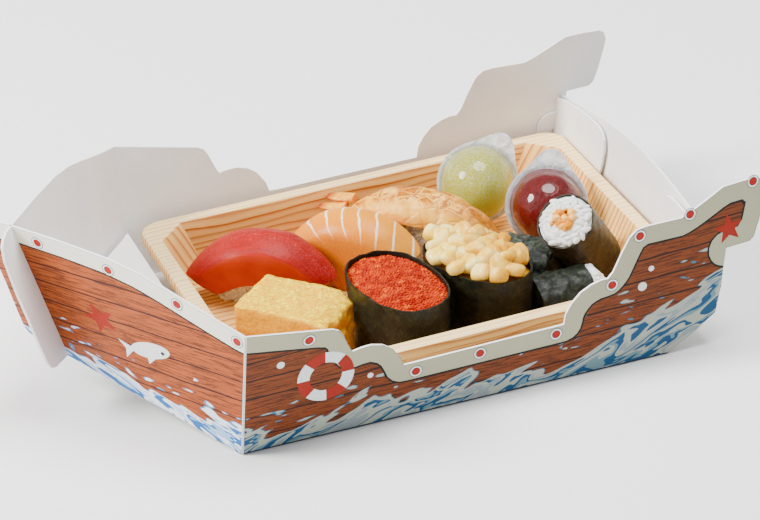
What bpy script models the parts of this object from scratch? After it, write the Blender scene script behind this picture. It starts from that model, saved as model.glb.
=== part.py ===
"""Takeaway sushi tray in a boat-shaped card box, built as separate solids in metres.

X runs along the box from bow to stern, Y across it, Z up. The origin is on the floor, under the
middle of the whole. Lengths below are millimetres measured from the middle of the tray.
"""

import math
import random

import bmesh
import bpy
from mathutils import Matrix, Vector

MM = 0.001
GAP = 0.35

# middle of the whole along X, seen from the middle of the tray
SHIFT_X = -24.15

# card box
CARD = 1.0
WALL_HALF = 75.74
WALL_SPREAD = 0.0295
WALL_LEAN = 0.0792
WALL_TWIST = -0.00129
BOW_X = -99.4
BOW_RAKE = 0.038
PROW_X = -141.2
PROW_RAKE = 0.2514
END_X = 96.2
END_LEAN = 0.14
END_TOP = 48.3
DECK_Z = 22.0
DECK_RISE = 0.3
DECK_EDGE_X = -98.4

# tray
TRAY_HALF_X = 95.0
TRAY_HALF_Y = 71.5
RIM_Z = 26.6
RIM_WIDTH = 5.6
SKIRT = 4.4
FLOOR_Z = 3.2

# food
REST_Z = FLOOR_Z + 0.3
BAND_TOP = 35.0
NORI = 0.9
ROLL_RADIUS = 12.2
TUNA = {
    "centre": (-53.9, 32.2), "angle": -31.0, "bend": -32.0, "length": 63.5, "half": 12.6,
    "top": 32.2, "left": 14.5, "right": 15.0, "taper_left": 0.44, "taper_right": 0.3,
}
SALMON = {
    "centre": (-13.9, 27.9), "angle": -45.0, "bend": 0.0, "length": 56.0, "half": 11.4,
    "top": 33.8, "left": 13.0, "right": 16.0, "taper_left": 0.18, "taper_right": 0.18,
}
SHRIMP = {
    "centre": (14.9, 30.4), "angle": -46.0, "bend": 0.0, "length": 73.0, "half": 10.9,
    "top": 35.2, "left": 20.0, "right": 17.5, "taper_left": 0.42, "taper_right": 0.5,
}
OMELETTE = {"centre": (-57.3, -20.4), "angle": -47.5, "length": 41.0, "width": 27.6, "top": 29.6}
ROE = {"centre": (-19.2, -34.0), "angle": -79.0, "a": 26.8, "b": 17.0}
CORN = {"centre": (15.9, -31.6), "angle": -66.0, "a": 25.6, "b": 15.8}
TOP_ROLL = {"start": (54.0, -32.3, 42.2), "axis": (0.49, 0.40, -0.7745), "length": 36.5}
BACK_ROLL = {"start": (37.0, -7.5, REST_Z + ROLL_RADIUS), "axis": (0.67, -0.742, 0.0), "length": 18.5}
FRONT_ROLL = {"start": (37.5, -46.2, REST_Z + ROLL_RADIUS), "axis": (1.0, 0.0, 0.0), "length": 22.5}

# jelly cups, lying on their sides
CUP_RADIUS = 14.5
CUP_MOUTH = 15.4
CUP_WALL = 0.7
CUP_LENGTH = 21.5
FLANGE_RADIUS = 17.2
CUP_AXIS = (-0.30, -0.88, 0.36)
GREEN_CUP = (49.6, 51.0, 20.9)
RED_CUP = (67.7, 19.6, 20.9)

rng = random.Random(7)


def clear_scene():
    for thing in list(bpy.data.objects):
        bpy.data.objects.remove(thing, do_unlink=True)


def material(name, colour, roughness=0.6, alpha=1.0, transmission=0.0):
    mat = bpy.data.materials.get(name) or bpy.data.materials.new(name)
    mat.use_nodes = True
    shader = mat.node_tree.nodes["Principled BSDF"]
    shader.inputs["Base Color"].default_value = (*colour, 1.0)
    shader.inputs["Roughness"].default_value = roughness
    shader.inputs["Alpha"].default_value = alpha
    shader.inputs["Transmission Weight"].default_value = transmission
    return mat


def add_object(name, data):
    obj = bpy.data.objects.new(name, data)
    bpy.context.scene.collection.objects.link(obj)
    return obj


def from_bmesh(name, bm):
    """A mesh object from a bmesh in mm, its faces turned outward."""
    bmesh.ops.scale(bm, vec=(MM, MM, MM), verts=bm.verts[:])
    bmesh.ops.recalc_face_normals(bm, faces=bm.faces[:])
    mesh = bpy.data.meshes.new(name)
    bm.to_mesh(mesh)
    bm.free()
    return add_object(name, mesh)


def finish(obj, name, mat):
    """Names a piece, gives it its material and smooths its round faces."""
    obj.name = name
    obj.data.name = name
    obj.data.materials.clear()
    obj.data.materials.append(mat)
    obj.data.shade_smooth()
    obj.data.set_sharp_from_angle(angle=math.radians(35.0))
    return obj


def apply_modifiers(obj):
    bpy.context.view_layer.update()
    graph = bpy.context.evaluated_depsgraph_get()
    mesh = bpy.data.meshes.new_from_object(obj.evaluated_get(graph))
    old = obj.data
    obj.modifiers.clear()
    obj.data = mesh
    if old.users == 0:
        bpy.data.meshes.remove(old)


def combine(obj, others, operation="UNION", solver="EXACT"):
    """Joins or cuts the others with obj by one Boolean and removes them."""
    group = bpy.data.collections.new(obj.name + "_tools")
    for other in others:
        group.objects.link(other)
    mod = obj.modifiers.new("join", "BOOLEAN")
    mod.operation = operation
    mod.solver = solver
    mod.operand_type = "COLLECTION"
    mod.collection = group
    apply_modifiers(obj)
    for other in others:
        bpy.data.objects.remove(other, do_unlink=True)
    bpy.data.collections.remove(group)
    return obj


def shell_of(face, seen):
    shell = []
    queue = [face]
    seen.add(face.index)
    while queue:
        current = queue.pop()
        shell.append(current)
        for edge in current.edges:
            for near in edge.link_faces:
                if near.index not in seen:
                    seen.add(near.index)
                    queue.append(near)
    return shell


def largest_piece(obj):
    """Keeps the largest shell, so that no loose scrap or sealed hollow is left."""
    bm = bmesh.new()
    bm.from_mesh(obj.data)
    bm.faces.ensure_lookup_table()
    seen = set()
    shells = [shell_of(face, seen) for face in bm.faces if face.index not in seen]
    shells.sort(key=lambda shell: -sum(face.calc_area() for face in shell))
    drop = [face for shell in shells[1:] for face in shell]
    if drop:
        bmesh.ops.delete(bm, geom=drop, context="FACES")
    bm.to_mesh(obj.data)
    bm.free()
    return obj


def sheet(name, outline, thick, matrix):
    """A flat outline as a filled 2D curve of the given thickness, put in space by matrix."""
    curve = bpy.data.curves.new(name, "CURVE")
    curve.dimensions = "2D"
    curve.fill_mode = "BOTH"
    curve.extrude = 0.5 * thick * MM
    spline = curve.splines.new("POLY")
    spline.points.add(len(outline) - 1)
    for point, (u, v) in zip(spline.points, outline):
        point.co = (u * MM, v * MM, 0.0, 1.0)
    spline.use_cyclic_u = True
    source = add_object(name, curve)
    bpy.context.view_layer.update()
    graph = bpy.context.evaluated_depsgraph_get()
    mesh = bpy.data.meshes.new_from_object(source.evaluated_get(graph))
    bpy.data.objects.remove(source, do_unlink=True)
    mesh.transform(matrix)
    bm = bmesh.new()
    bm.from_mesh(mesh)
    bmesh.ops.remove_doubles(bm, verts=bm.verts[:], dist=0.000001)
    bmesh.ops.dissolve_limit(bm, angle_limit=0.001, verts=bm.verts[:], edges=bm.edges[:])
    bmesh.ops.recalc_face_normals(bm, faces=bm.faces[:])
    bm.to_mesh(mesh)
    bm.free()
    return add_object(name, mesh)


def loft(name, loops):
    """A solid between unlike sections, each a loop of points, capped at both ends."""
    bm = bmesh.new()
    rings = [[bm.verts.new(point) for point in loop] for loop in loops]
    count = len(rings[0])
    bm.faces.new(rings[0])
    bm.faces.new(rings[-1])
    for low, high in zip(rings, rings[1:]):
        for i in range(count):
            j = (i + 1) % count
            bm.faces.new((low[i], low[j], high[j], high[i]))
    return from_bmesh(name, bm)


def turned(name, profile, steps, closed=False):
    """A profile of (radius, height) turned about Z by a Screw modifier."""
    bm = bmesh.new()
    points = [bm.verts.new((radius * MM, 0.0, height * MM)) for radius, height in profile]
    for a, b in zip(points, points[1:]):
        bm.edges.new((a, b))
    if closed:
        bm.edges.new((points[-1], points[0]))
    mesh = bpy.data.meshes.new(name)
    bm.to_mesh(mesh)
    bm.free()
    obj = add_object(name, mesh)
    mod = obj.modifiers.new("turn", "SCREW")
    mod.steps = steps
    mod.render_steps = steps
    mod.use_merge_vertices = True
    mod.merge_threshold = 0.00001
    apply_modifiers(obj)
    bm = bmesh.new()
    bm.from_mesh(obj.data)
    bmesh.ops.recalc_face_normals(bm, faces=bm.faces[:])
    bm.to_mesh(obj.data)
    bm.free()
    return obj


def aim(obj, start, axis):
    """Turns a piece made along +Z to run along axis, its origin on start."""
    axis = Vector(axis).normalized()
    side = axis.cross(Vector((0.0, 0.0, 1.0))).normalized()
    up = side.cross(axis)
    turn = Matrix((side, up, -axis)).transposed() @ Matrix.Rotation(math.pi, 3, "X")
    obj.matrix_world = Matrix.Translation(Vector(start) * MM) @ turn.to_4x4()
    return obj


def slab(name, top, under, across, along):
    """A grid extruded between two surfaces, each a function of (u, v) from -1 to 1."""
    bm = bmesh.new()
    bmesh.ops.create_grid(bm, x_segments=along, y_segments=across, size=1.0)
    low = bm.verts[:]
    made = bmesh.ops.extrude_face_region(bm, geom=bm.faces[:])
    high = [part for part in made["geom"] if isinstance(part, bmesh.types.BMVert)]
    for vert in high:
        vert.co = top(vert.co.x, vert.co.y)
    for vert in low:
        vert.co = under(vert.co.x, vert.co.y)
    return from_bmesh(name, bm)


# card box

def half_width(x, z):
    """Distance of the side wall's inner face from the middle; the wall leans out most at the bow."""
    return WALL_HALF + WALL_SPREAD * x + (WALL_LEAN + WALL_TWIST * x) * z


def plane_matrix(origin, along, upward, outward):
    matrix = Matrix.Identity(4)
    for column, vector in enumerate((along, upward, outward)):
        for row in range(3):
            matrix[row][column] = vector[row]
    for row in range(3):
        matrix[row][3] = origin[row] * MM
    return matrix


def side_sheet(name, outline, side, offset):
    """A flat outline of (x, z) cut into strips and bent to the twist of a side wall."""
    upright = plane_matrix((0.0, 0.0, 0.0), (1.0, 0.0, 0.0), (0.0, 0.0, 1.0), (0.0, side, 0.0))
    obj = sheet(name, outline, CARD, upright)
    bm = bmesh.new()
    bm.from_mesh(obj.data)
    cuts = [((x, 0.0, 0.0), (1.0, 0.0, 0.0)) for x in (-70.0, -40.0, 0.0, 40.0, 75.0, 100.0)]
    cuts.append(((0.0, 0.0, 36.0), (0.0, 0.0, 1.0)))
    for point, normal in cuts:
        geom = bm.verts[:] + bm.edges[:] + bm.faces[:]
        bmesh.ops.bisect_plane(bm, geom=geom, plane_co=Vector(point) * MM, plane_no=normal)
    bmesh.ops.triangulate(bm, faces=bm.faces[:])
    for vert in bm.verts:
        vert.co.y += side * (half_width(vert.co.x / MM, vert.co.z / MM) + offset) * MM
    bmesh.ops.recalc_face_normals(bm, faces=bm.faces[:])
    bm.to_mesh(obj.data)
    bm.free()
    return obj


def side_outline():
    low = [(BOW_X, 0.0), (75.5, 0.0), (86.4, 6.2), (97.0, 13.4), (99.9, 24.4), (101.2, 32.4)]
    tip = [
        (102.7, 40.4), (113.0, 40.8), (115.0, 42.5), (117.5, 49.0), (120.0, 58.5), (120.8, 62.0),
        (119.8, 65.6), (117.5, 66.9), (111.0, 67.2), (102.3, 66.9), (98.5, 65.0), (93.0, 62.3),
    ]
    stern_step = [(88.0, 60.0), (83.5, 58.4), (68.5, 58.9), (64.5, 58.4), (61.3, 56.0), (58.0, 50.5), (53.8, 42.6)]
    stern_lobe = [(51.5, 40.3), (48.5, 40.4), (44.5, 39.4), (40.0, 37.3), (36.0, 33.4), (33.4, 29.3), (32.4, 24.7)]
    bow_lobe = [(-34.3, 24.7), (-35.4, 28.8), (-38.8, 34.0), (-42.6, 36.8), (-47.3, 38.2), (-51.2, 38.1)]
    bow_step = [(-55.0, 37.4), (-56.6, 41.0), (-58.6, 46.5), (-60.2, 49.0), (-62.8, 50.4), (-97.2, 57.8)]
    return low + tip + stern_step + stern_lobe + bow_lobe + bow_step


def wing_point(side, t, z):
    """A point between the upright fold, t = 0, and the raked line where the wings cross, t = 1."""
    fold = Vector((BOW_X + BOW_RAKE * z, side * half_width(BOW_X, z), z))
    prow = Vector((PROW_X - PROW_RAKE * z, 0.0, z))
    return fold.lerp(prow, t)


WING_ROWS = [
    (-0.007, 0.0, 57.8), (0.12, 1.8, 61.4), (0.24, 3.8, 65.5), (0.35, 5.6, 69.5), (0.46, 7.4, 73.2),
    (0.6, 9.3, 76.2), (0.8, 12.8, 78.0), (1.0, 17.0, 79.0),
]
WING_END = [
    (1.05, 79.0), (1.09, 78.0), (1.12, 76.0), (1.145, 71.0), (1.17, 57.0), (1.18, 46.0),
    (1.2, 33.0), (1.21, 25.0), (1.2, 22.0), (1.16, 20.0),
]


def wing(side):
    """A bow wing: a slightly twisted surface between fold and prow, thickened by Solidify."""
    bm = bmesh.new()
    columns = []
    for t, low, top in WING_ROWS:
        heights = [low + (top - low) * k / 4 for k in range(5)]
        columns.append([bm.verts.new(wing_point(side, t, z)) for z in heights])
    for left, right in zip(columns, columns[1:]):
        for k in range(4):
            bm.faces.new((left[k], right[k], right[k + 1], left[k + 1]))
    end = [bm.verts.new(wing_point(side, t, z)) for t, z in WING_END]
    bm.faces.new(end + columns[-1])
    depth = Vector((-0.845, side * 0.534, 0.0)) * CARD
    made = bmesh.ops.extrude_face_region(bm, geom=bm.faces[:])
    moved = [part for part in made["geom"] if isinstance(part, bmesh.types.BMVert)]
    bmesh.ops.translate(bm, vec=depth, verts=moved)
    return from_bmesh("wing", bm)


def end_matrix(offset):
    """Plane of the stern wall: the first coordinate is y, the second the height above its foot."""
    origin = (END_X - 10.0 * END_LEAN + offset, 0.0, 0.0)
    return plane_matrix(origin, (0.0, 1.0, 0.0), (END_LEAN, 0.0, 1.0), (1.0, 0.0, 0.0))


def end_top(y):
    """Height of the stern wall's arched upper edge."""
    return END_TOP - 9.4 * (abs(y) / 75.5) ** 1.7


def end_wall():
    steps = [77.2, 70.0, 60.0, 48.0, 34.0, 18.0, 0.0, -18.0, -34.0, -48.0, -60.0, -70.0, -77.2]
    foot = half_width(97.0, 12.7) + 0.35
    outline = [(y, end_top(y)) for y in steps] + [(-foot, 12.7), (foot, 12.7)]
    return sheet("end", outline, CARD, end_matrix(0.5 * CARD))


def end_flap(side):
    top = [(77.1, end_top(77.1) - 0.9), (67.0, 40.4), (54.0, 42.3), (42.0, 43.2), (35.5, 43.3)]
    tip = [(31.5, 42.2), (28.6, 39.5), (27.4, 35.0), (28.6, 27.0), (30.6, 20.0), (31.5, 16.0)]
    outline = top + tip + [(half_width(98.0, 16.0) + 0.5, 16.0)]
    return sheet("flap", [(side * y, z) for y, z in outline], CARD, end_matrix(-1.1 - 0.5 * CARD))


def bottom():
    profile = [(BOW_X + 0.3, 0.0), (75.5, 0.0), (86.4, 6.2), (97.0, 13.2), (96.4, 14.1), (86.0, 7.2), (75.2, CARD)]
    profile.append((BOW_X + 0.4, CARD))
    sections = []
    for side in (-1, 1):
        sections.append([(x, side * (half_width(x, z) + 0.5 * CARD), z) for x, z in profile])
    return loft("bottom", sections)


def wall_tab():
    outline = [(88.0, 24.0), (88.6, 27.5), (90.4, 30.4), (93.2, 31.8), (97.5, 32.0), (97.5, 24.0)]
    return side_sheet("tab", outline, 1, -0.9)


def build_carton():
    card = material("card_print", (0.75, 0.72, 0.62), 0.55)
    hull = bottom()
    parts = [side_sheet("side", side_outline(), side, 0.5 * CARD) for side in (-1, 1)]
    parts += [wing(side) for side in (-1, 1)]
    parts += [end_wall(), wall_tab()]
    parts += [end_flap(side) for side in (-1, 1)]
    combine(hull, parts)
    finish(largest_piece(hull), "carton", card)


def deck_height(x):
    return DECK_Z + DECK_RISE * max(0.0, DECK_EDGE_X - x)


def build_deck():
    """Bow panel between the wings, folded down beside the tray."""
    card = material("card_plain", (0.85, 0.84, 0.82), 0.6)
    edge = [(DECK_EDGE_X, half_width(-98.0, DECK_Z) - 1.2)]
    for k in range(9):
        t = 0.02 + 0.9 * k / 8
        z = DECK_Z
        for _ in range(12):
            z = deck_height(wing_point(1, t, z).x)
        point = wing_point(1, t, z)
        edge.append((point.x + 1.3, point.y - 1.3))
    outline = edge + [(x, -y) for x, y in edge[::-1]]
    faces = [[(x, y, deck_height(x) - CARD + depth) for x, y in outline] for depth in (0.0, CARD)]
    deck = loft("deck", faces)
    leg = [(-74.6, DECK_Z - 0.4), (74.6, DECK_Z - 0.4), (71.4, CARD + GAP), (-71.4, CARD + GAP)]
    origin = (DECK_EDGE_X - 0.8 + 0.04 * DECK_Z, 0.0, 0.0)
    matrix = plane_matrix(origin, (0.0, 1.0, 0.0), (-0.04, 0.0, 1.0), (1.0, 0.0, 0.0))
    combine(deck, [sheet("leg", leg, CARD, matrix)])
    finish(deck, "deck", card)


# tray

def tray_loop(half_x, half_y, corner, z, cut=False, short=0.0):
    """A rectangle with rounded corners, or with corners cut off straight; short at the stern end."""
    loop = []
    for sx, sy, start in ((1, 1, 0.0), (-1, 1, 90.0), (-1, -1, 180.0), (1, -1, 270.0)):
        first = Vector((math.cos(math.radians(start)), math.sin(math.radians(start))))
        last = Vector((-first.y, first.x))
        for k in range(6):
            a = math.radians(start + 90.0 * k / 5)
            point = Vector((math.cos(a), math.sin(a)))
            if cut:
                point = first.lerp(last, 0.94 * k / 5 + 0.03)
            x = sx * (half_x - corner) + corner * point.x - (short if sx > 0 else 0.0)
            loop.append((x, sy * (half_y - corner) + corner * point.y, z))
    return loop


def build_tray():
    wood = material("tray_wood", (0.85, 0.66, 0.42), 0.5)
    hx, hy = TRAY_HALF_X, TRAY_HALF_Y
    wx, wy = hx - RIM_WIDTH, hy - RIM_WIDTH
    outside = [
        tray_loop(hx - 14.5, hy - 9.2, 12.0, CARD + GAP, short=5.6),
        tray_loop(hx - 12.6, hy - 7.8, 13.0, 3.2, short=3.9),
        tray_loop(hx - 3.9, hy - 3.9, 11.0, RIM_Z - 2.3),
        tray_loop(hx - 1.6, hy - 1.6, 8.0, RIM_Z - 2.3),
        tray_loop(hx - 1.3, hy - 1.3, 8.0, RIM_Z - SKIRT),
        tray_loop(hx + 0.2, hy + 0.2, 9.0, RIM_Z - SKIRT),
        tray_loop(hx, hy, 9.0, RIM_Z - 0.7),
        tray_loop(hx - 0.7, hy - 0.7, 9.0, RIM_Z),
    ]
    inside = [
        tray_loop(wx + 0.2, wy + 0.2, 12.0, RIM_Z, True),
        tray_loop(wx - 0.6, wy - 0.6, 12.0, RIM_Z - 0.8, True),
        tray_loop(wx - 8.2, wy - 2.7, 11.5, FLOOR_Z + 1.6, True, 2.4),
        tray_loop(wx - 9.8, wy - 4.2, 11.0, FLOOR_Z, True, 2.4),
    ]
    finish(loft("tray", outside + inside), "tray", wood)


# slices laid over rice

def slice_surface(spec, inset, reach_near, reach_far, narrow=1.0, shorter=0.0, lower=0.0):
    """A surface arched over a curved line: u runs along it, v from the near to the far side."""
    bend = math.radians(spec["bend"]) / spec["length"]
    angle = math.radians(spec["angle"])
    half_length = 0.5 * spec["length"]

    def spine(s):
        u = s / half_length
        end = spec["left"] if u < 0 else spec["right"]
        return spec["top"] - (spec["top"] - end) * min(1.15, abs(u)) ** 2.4

    def surface(u, v):
        s = u * (half_length - shorter)
        heading = angle + bend * s
        middle = angle + 0.5 * bend * s
        taper = spec["taper_left"] if u < 0 else spec["taper_right"]
        half = spec["half"] * (1.0 - taper * abs(s / half_length) ** 2.5)
        a = math.radians(reach_far if v > 0 else reach_near) * v
        across = (half - inset) * math.sin(a) * narrow
        drop = (0.62 * half - inset) * (math.cos(a) - 1.0) - inset
        slope = math.atan(spine(s + 0.5) - spine(s - 0.5))
        along = s - drop * math.sin(slope)
        x = spec["centre"][0] + along * math.cos(middle) - across * math.sin(heading)
        y = spec["centre"][1] + along * math.sin(middle) + across * math.cos(heading)
        return Vector((x, y, spine(s) + drop * math.cos(slope) - lower))
    return surface


def on_floor(surface):
    """The same plan, flat on the tray's floor."""
    def flat(u, v):
        point = surface(u, v)
        point.z = REST_Z
        return point
    return flat


def raised(surface, least):
    def lifted(u, v):
        point = surface(u, v)
        point.z = max(point.z, least)
        return point
    return lifted


def build_tuna():
    red = material("tuna_flesh", (0.62, 0.05, 0.03), 0.3)
    rice = material("rice", (0.9, 0.87, 0.8), 0.5)
    top = slice_surface(TUNA, 0.0, 84.0, 86.0)
    under = raised(slice_surface(TUNA, 6.6, 70.0, 84.0), REST_Z + 0.2)
    finish(slab("tuna_slice", top, under, 8, 12), "tuna_slice", red)
    block = raised(slice_surface(TUNA, 6.6 + GAP, 70.0, 80.0, 0.86, 12.0, 0.3), REST_Z + 1.0)
    finish(slab("tuna_rice", block, on_floor(block), 6, 8), "tuna_rice", rice)


def build_salmon():
    orange = material("salmon_flesh", (0.85, 0.33, 0.07), 0.3)
    top = slice_surface(SALMON, 0.0, 88.0, 88.0)
    finish(slab("salmon_slice", top, on_floor(top), 8, 12), "salmon_slice", orange)


def build_shrimp():
    flesh = material("shrimp_flesh", (0.9, 0.5, 0.2), 0.35)
    rice = material("rice", (0.9, 0.87, 0.8), 0.5)
    top = slice_surface(SHRIMP, 0.0, 80.0, 80.0)
    under = slice_surface(SHRIMP, 4.6, 80.0, 80.0)

    def ribbed(u, v):
        point = top(u, v)
        point.z += 0.9 * (abs(math.sin(3.0 * math.pi * (u + 1.0))) ** 0.6 - 0.6)
        return point

    body = slab("shrimp", ribbed, under, 8, 24)
    angle = math.radians(SHRIMP["angle"])
    fins = []
    for centre, size, turn in (((-9.2, 58.6, 25.0), (6.8, 3.4, 1.7), 0.05), ((-13.6, 57.4, 22.3), (6.4, 3.2, 1.7), -0.05)):
        bm = bmesh.new()
        bmesh.ops.create_uvsphere(bm, u_segments=10, v_segments=6, radius=1.0)
        bmesh.ops.scale(bm, vec=size, verts=bm.verts[:])
        fin = from_bmesh("fin", bm)
        fin.location = Vector(centre) * MM
        fin.rotation_euler = (0.0, 0.12, angle + turn)
        fins.append(fin)
    combine(body, fins)
    finish(largest_piece(body), "shrimp", flesh)
    block = raised(slice_surface(SHRIMP, 4.6 + GAP, 76.0, 76.0, 0.74, 13.0, 0.3), REST_Z + 1.0)
    finish(slab("shrimp_rice", block, on_floor(block), 6, 8), "shrimp_rice", rice)


def build_tamago():
    """A block of omelette, its right end sagging a little."""
    egg = material("egg", (0.95, 0.72, 0.08), 0.5)
    height = OMELETTE["top"] - REST_Z
    bm = bmesh.new()
    bmesh.ops.create_cube(bm, size=1.0)
    size = (OMELETTE["length"], OMELETTE["width"], height)
    bmesh.ops.scale(bm, vec=size, verts=bm.verts[:])
    bmesh.ops.subdivide_edges(bm, edges=bm.edges[:], cuts=3, use_grid_fill=True)
    for vert in bm.verts:
        end = max(0.0, vert.co.x / (0.5 * size[0]) - 0.4) / 0.6
        high = max(0.0, vert.co.z / height + 0.1)
        vert.co.z -= 4.0 * end * end * high
        if vert.co.y > 0.0:
            vert.co.y -= 4.4 * end * end
        if vert.co.z > 0.0:
            vert.co += Vector((rng.uniform(-0.3, 0.3), rng.uniform(-0.3, 0.3), rng.uniform(-0.25, 0.25)))
        else:
            vert.co.y *= 0.97
    obj = from_bmesh("tamago", bm)
    bevel = obj.modifiers.new("soft edges", "BEVEL")
    bevel.width = 1.8 * MM
    bevel.segments = 2
    bevel.limit_method = "ANGLE"
    bevel.angle_limit = math.radians(40.0)
    apply_modifiers(obj)
    obj.location = Vector((*OMELETTE["centre"], REST_Z + 0.5 * height)) * MM
    obj.rotation_euler = (0.0, 0.0, math.radians(OMELETTE["angle"]))
    finish(obj, "tamago", egg)


# gunkan

def oval(obj, spec, power=2.25):
    """Stretches a turned unit form into the plan of a gunkan."""
    for vert in obj.data.vertices:
        r = math.hypot(vert.co.x, vert.co.y)
        if r > 1e-7:
            c, s = vert.co.x / r, vert.co.y / r
            vert.co.x = r * math.copysign(abs(c) ** (2.0 / power), c) * spec["a"] / spec["b"]
            vert.co.y = r * math.copysign(abs(s) ** (2.0 / power), s)
    obj.location = Vector((*spec["centre"], 0.0)) * MM
    obj.rotation_euler = (0.0, 0.0, math.radians(spec["angle"]))
    return obj


BAND_SIDE = [(0.93, REST_Z), (0.955, 12.0), (0.985, 24.0), (1.0, BAND_TOP)]


def band(name, spec, mat):
    """A strip of nori round the rice."""
    outer = [(spec["b"] * f, z) for f, z in BAND_SIDE[::-1]]
    inner = [(spec["b"] * f - 0.6 * NORI, z) for f, z in BAND_SIDE]
    finish(oval(turned(name, outer + inner, 24, closed=True), spec), name, mat)


def heap(name, spec, top, rise):
    """What fills the band, from the floor up to a low dome."""
    inset = 0.6 * NORI + GAP
    profile = [(0.0, top + rise)]
    for f in (0.25, 0.5, 0.75, 0.95):
        profile.append((spec["b"] * f * 0.92, top + rise * math.cos(f * math.pi / 2)))
    profile += [(spec["b"] - inset, top - 1.6), (0.985 * spec["b"] - inset, 24.0)]
    profile += [(0.955 * spec["b"] - inset, 12.0), (0.93 * spec["b"] - inset, REST_Z), (0.0, REST_Z)]
    return oval(turned(name, profile, 24), spec)


def lump(centre, size, turn, around, rings):
    """A small rounded lump with few sides."""
    bm = bmesh.new()
    bmesh.ops.create_uvsphere(bm, u_segments=around, v_segments=rings, radius=1.0)
    bmesh.ops.scale(bm, vec=size, verts=bm.verts[:])
    obj = from_bmesh("lump", bm)
    obj.location = Vector(centre) * MM
    obj.rotation_euler = turn
    return obj


def spread(spec, count, reach, margin):
    """Points spread evenly over the plan of a gunkan: (x, y, distance from the middle)."""
    angle = math.radians(spec["angle"])
    for k in range(count):
        r = math.sqrt((k + 0.5) / count) * reach
        turn = k * 2.39996 + 0.4
        u = (spec["a"] - margin) * r * math.cos(turn)
        v = (spec["b"] - margin) * r * math.sin(turn)
        x = spec["centre"][0] + u * math.cos(angle) - v * math.sin(angle)
        y = spec["centre"][1] + u * math.sin(angle) + v * math.cos(angle)
        yield x, y, r


def build_roe():
    nori = material("nori", (0.02, 0.025, 0.02), 0.6)
    roe = material("roe", (0.85, 0.13, 0.02), 0.3)
    band("roe_band", ROE, nori)
    body = heap("roe", ROE, BAND_TOP - 1.2, 1.8)
    grains = []
    for x, y, r in spread(ROE, 44, 0.88, 3.2):
        z = BAND_TOP - 1.2 + 1.8 * math.cos(r * math.pi / 2)
        grains.append(lump((x, y, z - 0.1), (1.1, 1.1, 0.9), (0.0, 0.0, 0.0), 5, 3))
    combine(body, grains)
    finish(largest_piece(body), "roe", roe)


def build_corn():
    nori = material("nori", (0.02, 0.025, 0.02), 0.6)
    corn = material("corn", (0.98, 0.78, 0.2), 0.35)
    band("corn_band", CORN, nori)
    body = heap("corn", CORN, BAND_TOP - 0.8, 4.6)
    kernels = []
    for x, y, r in spread(CORN, 24, 0.84, 3.6):
        z = BAND_TOP + 0.6 + 5.4 * math.sqrt(max(0.0, 1 - r * r)) + rng.uniform(-0.6, 0.8)
        size = (rng.uniform(3.6, 4.5), rng.uniform(2.9, 3.5), rng.uniform(2.5, 3.1))
        turn = (rng.uniform(-0.7, 0.7), rng.uniform(-0.3, 0.3), rng.uniform(0.0, 6.28))
        kernels.append(lump((x, y, z), size, turn, 7, 4))
    combine(body, kernels)
    finish(largest_piece(body), "corn", corn)


# rolls

def roll(name, spec, nori, rice, hole=0.0):
    """A thin roll: a sleeve of nori round a core of rice, start being the middle of one cut end."""
    length = spec["length"]
    r = ROLL_RADIUS
    sleeve = [(r, length), (r, 0.5 * length), (r, 0.0), (r - NORI, 0.0), (r - NORI, 0.5 * length), (r - NORI, length)]
    obj = turned(name + "_nori", sleeve, 20, closed=True)
    finish(aim(obj, spec["start"], spec["axis"]), name + "_nori", nori)
    inner = r - NORI - GAP
    back = [(hole, length + 0.3), (0.9 * inner, length + 0.3), (inner, length - 0.6)]
    front = [(inner, 0.6), (0.95 * inner, -0.2), (0.84 * inner, -0.9), (hole, -0.8)]
    obj = turned(name + "_rice", back + front, 20, closed=hole > 0.0)
    finish(aim(obj, spec["start"], spec["axis"]), name + "_rice", rice)


def build_rolls():
    nori = material("nori", (0.02, 0.025, 0.02), 0.6)
    rice = material("rice", (0.9, 0.87, 0.8), 0.5)
    beans = material("bean_filling", (0.85, 0.45, 0.12), 0.45)
    roll("top_roll", TOP_ROLL, nori, rice, hole=5.2)
    roll("back_roll", BACK_ROLL, nori, rice)
    roll("front_roll", FRONT_ROLL, nori, rice)
    r = 5.2 - GAP
    length = TOP_ROLL["length"]
    core = turned("core", [(0.0, length), (r, length), (r, -0.4), (0.0, -0.4)], 12)
    aim(core, TOP_ROLL["start"], TOP_ROLL["axis"])
    bpy.context.view_layer.update()
    lumps = []
    for k in range(7):
        out = 2.9 if k else 0.0
        a = k * math.pi / 3 + 0.3
        place = core.matrix_world @ (Vector((out * math.cos(a), out * math.sin(a), -0.4)) * MM)
        turn = (rng.uniform(0.0, 3.1), rng.uniform(0.0, 3.1), 0.0)
        lumps.append(lump(place / MM, (1.9, 1.5, 1.5), turn, 8, 4))
    combine(core, lumps)
    finish(largest_piece(core), "top_roll_filling", beans)


# jelly cups

def dome(radius, mouth, length):
    """A tapered side and a round end, from the middle of the end to the mouth."""
    points = [(0.0, length)]
    for k in range(4, 0, -1):
        a = 0.5 * math.pi * k / 5
        points.append((radius * math.cos(a), length - radius + radius * math.sin(a)))
    return points + [(radius + 0.2, length - radius), (mouth, 0.0)]


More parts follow.
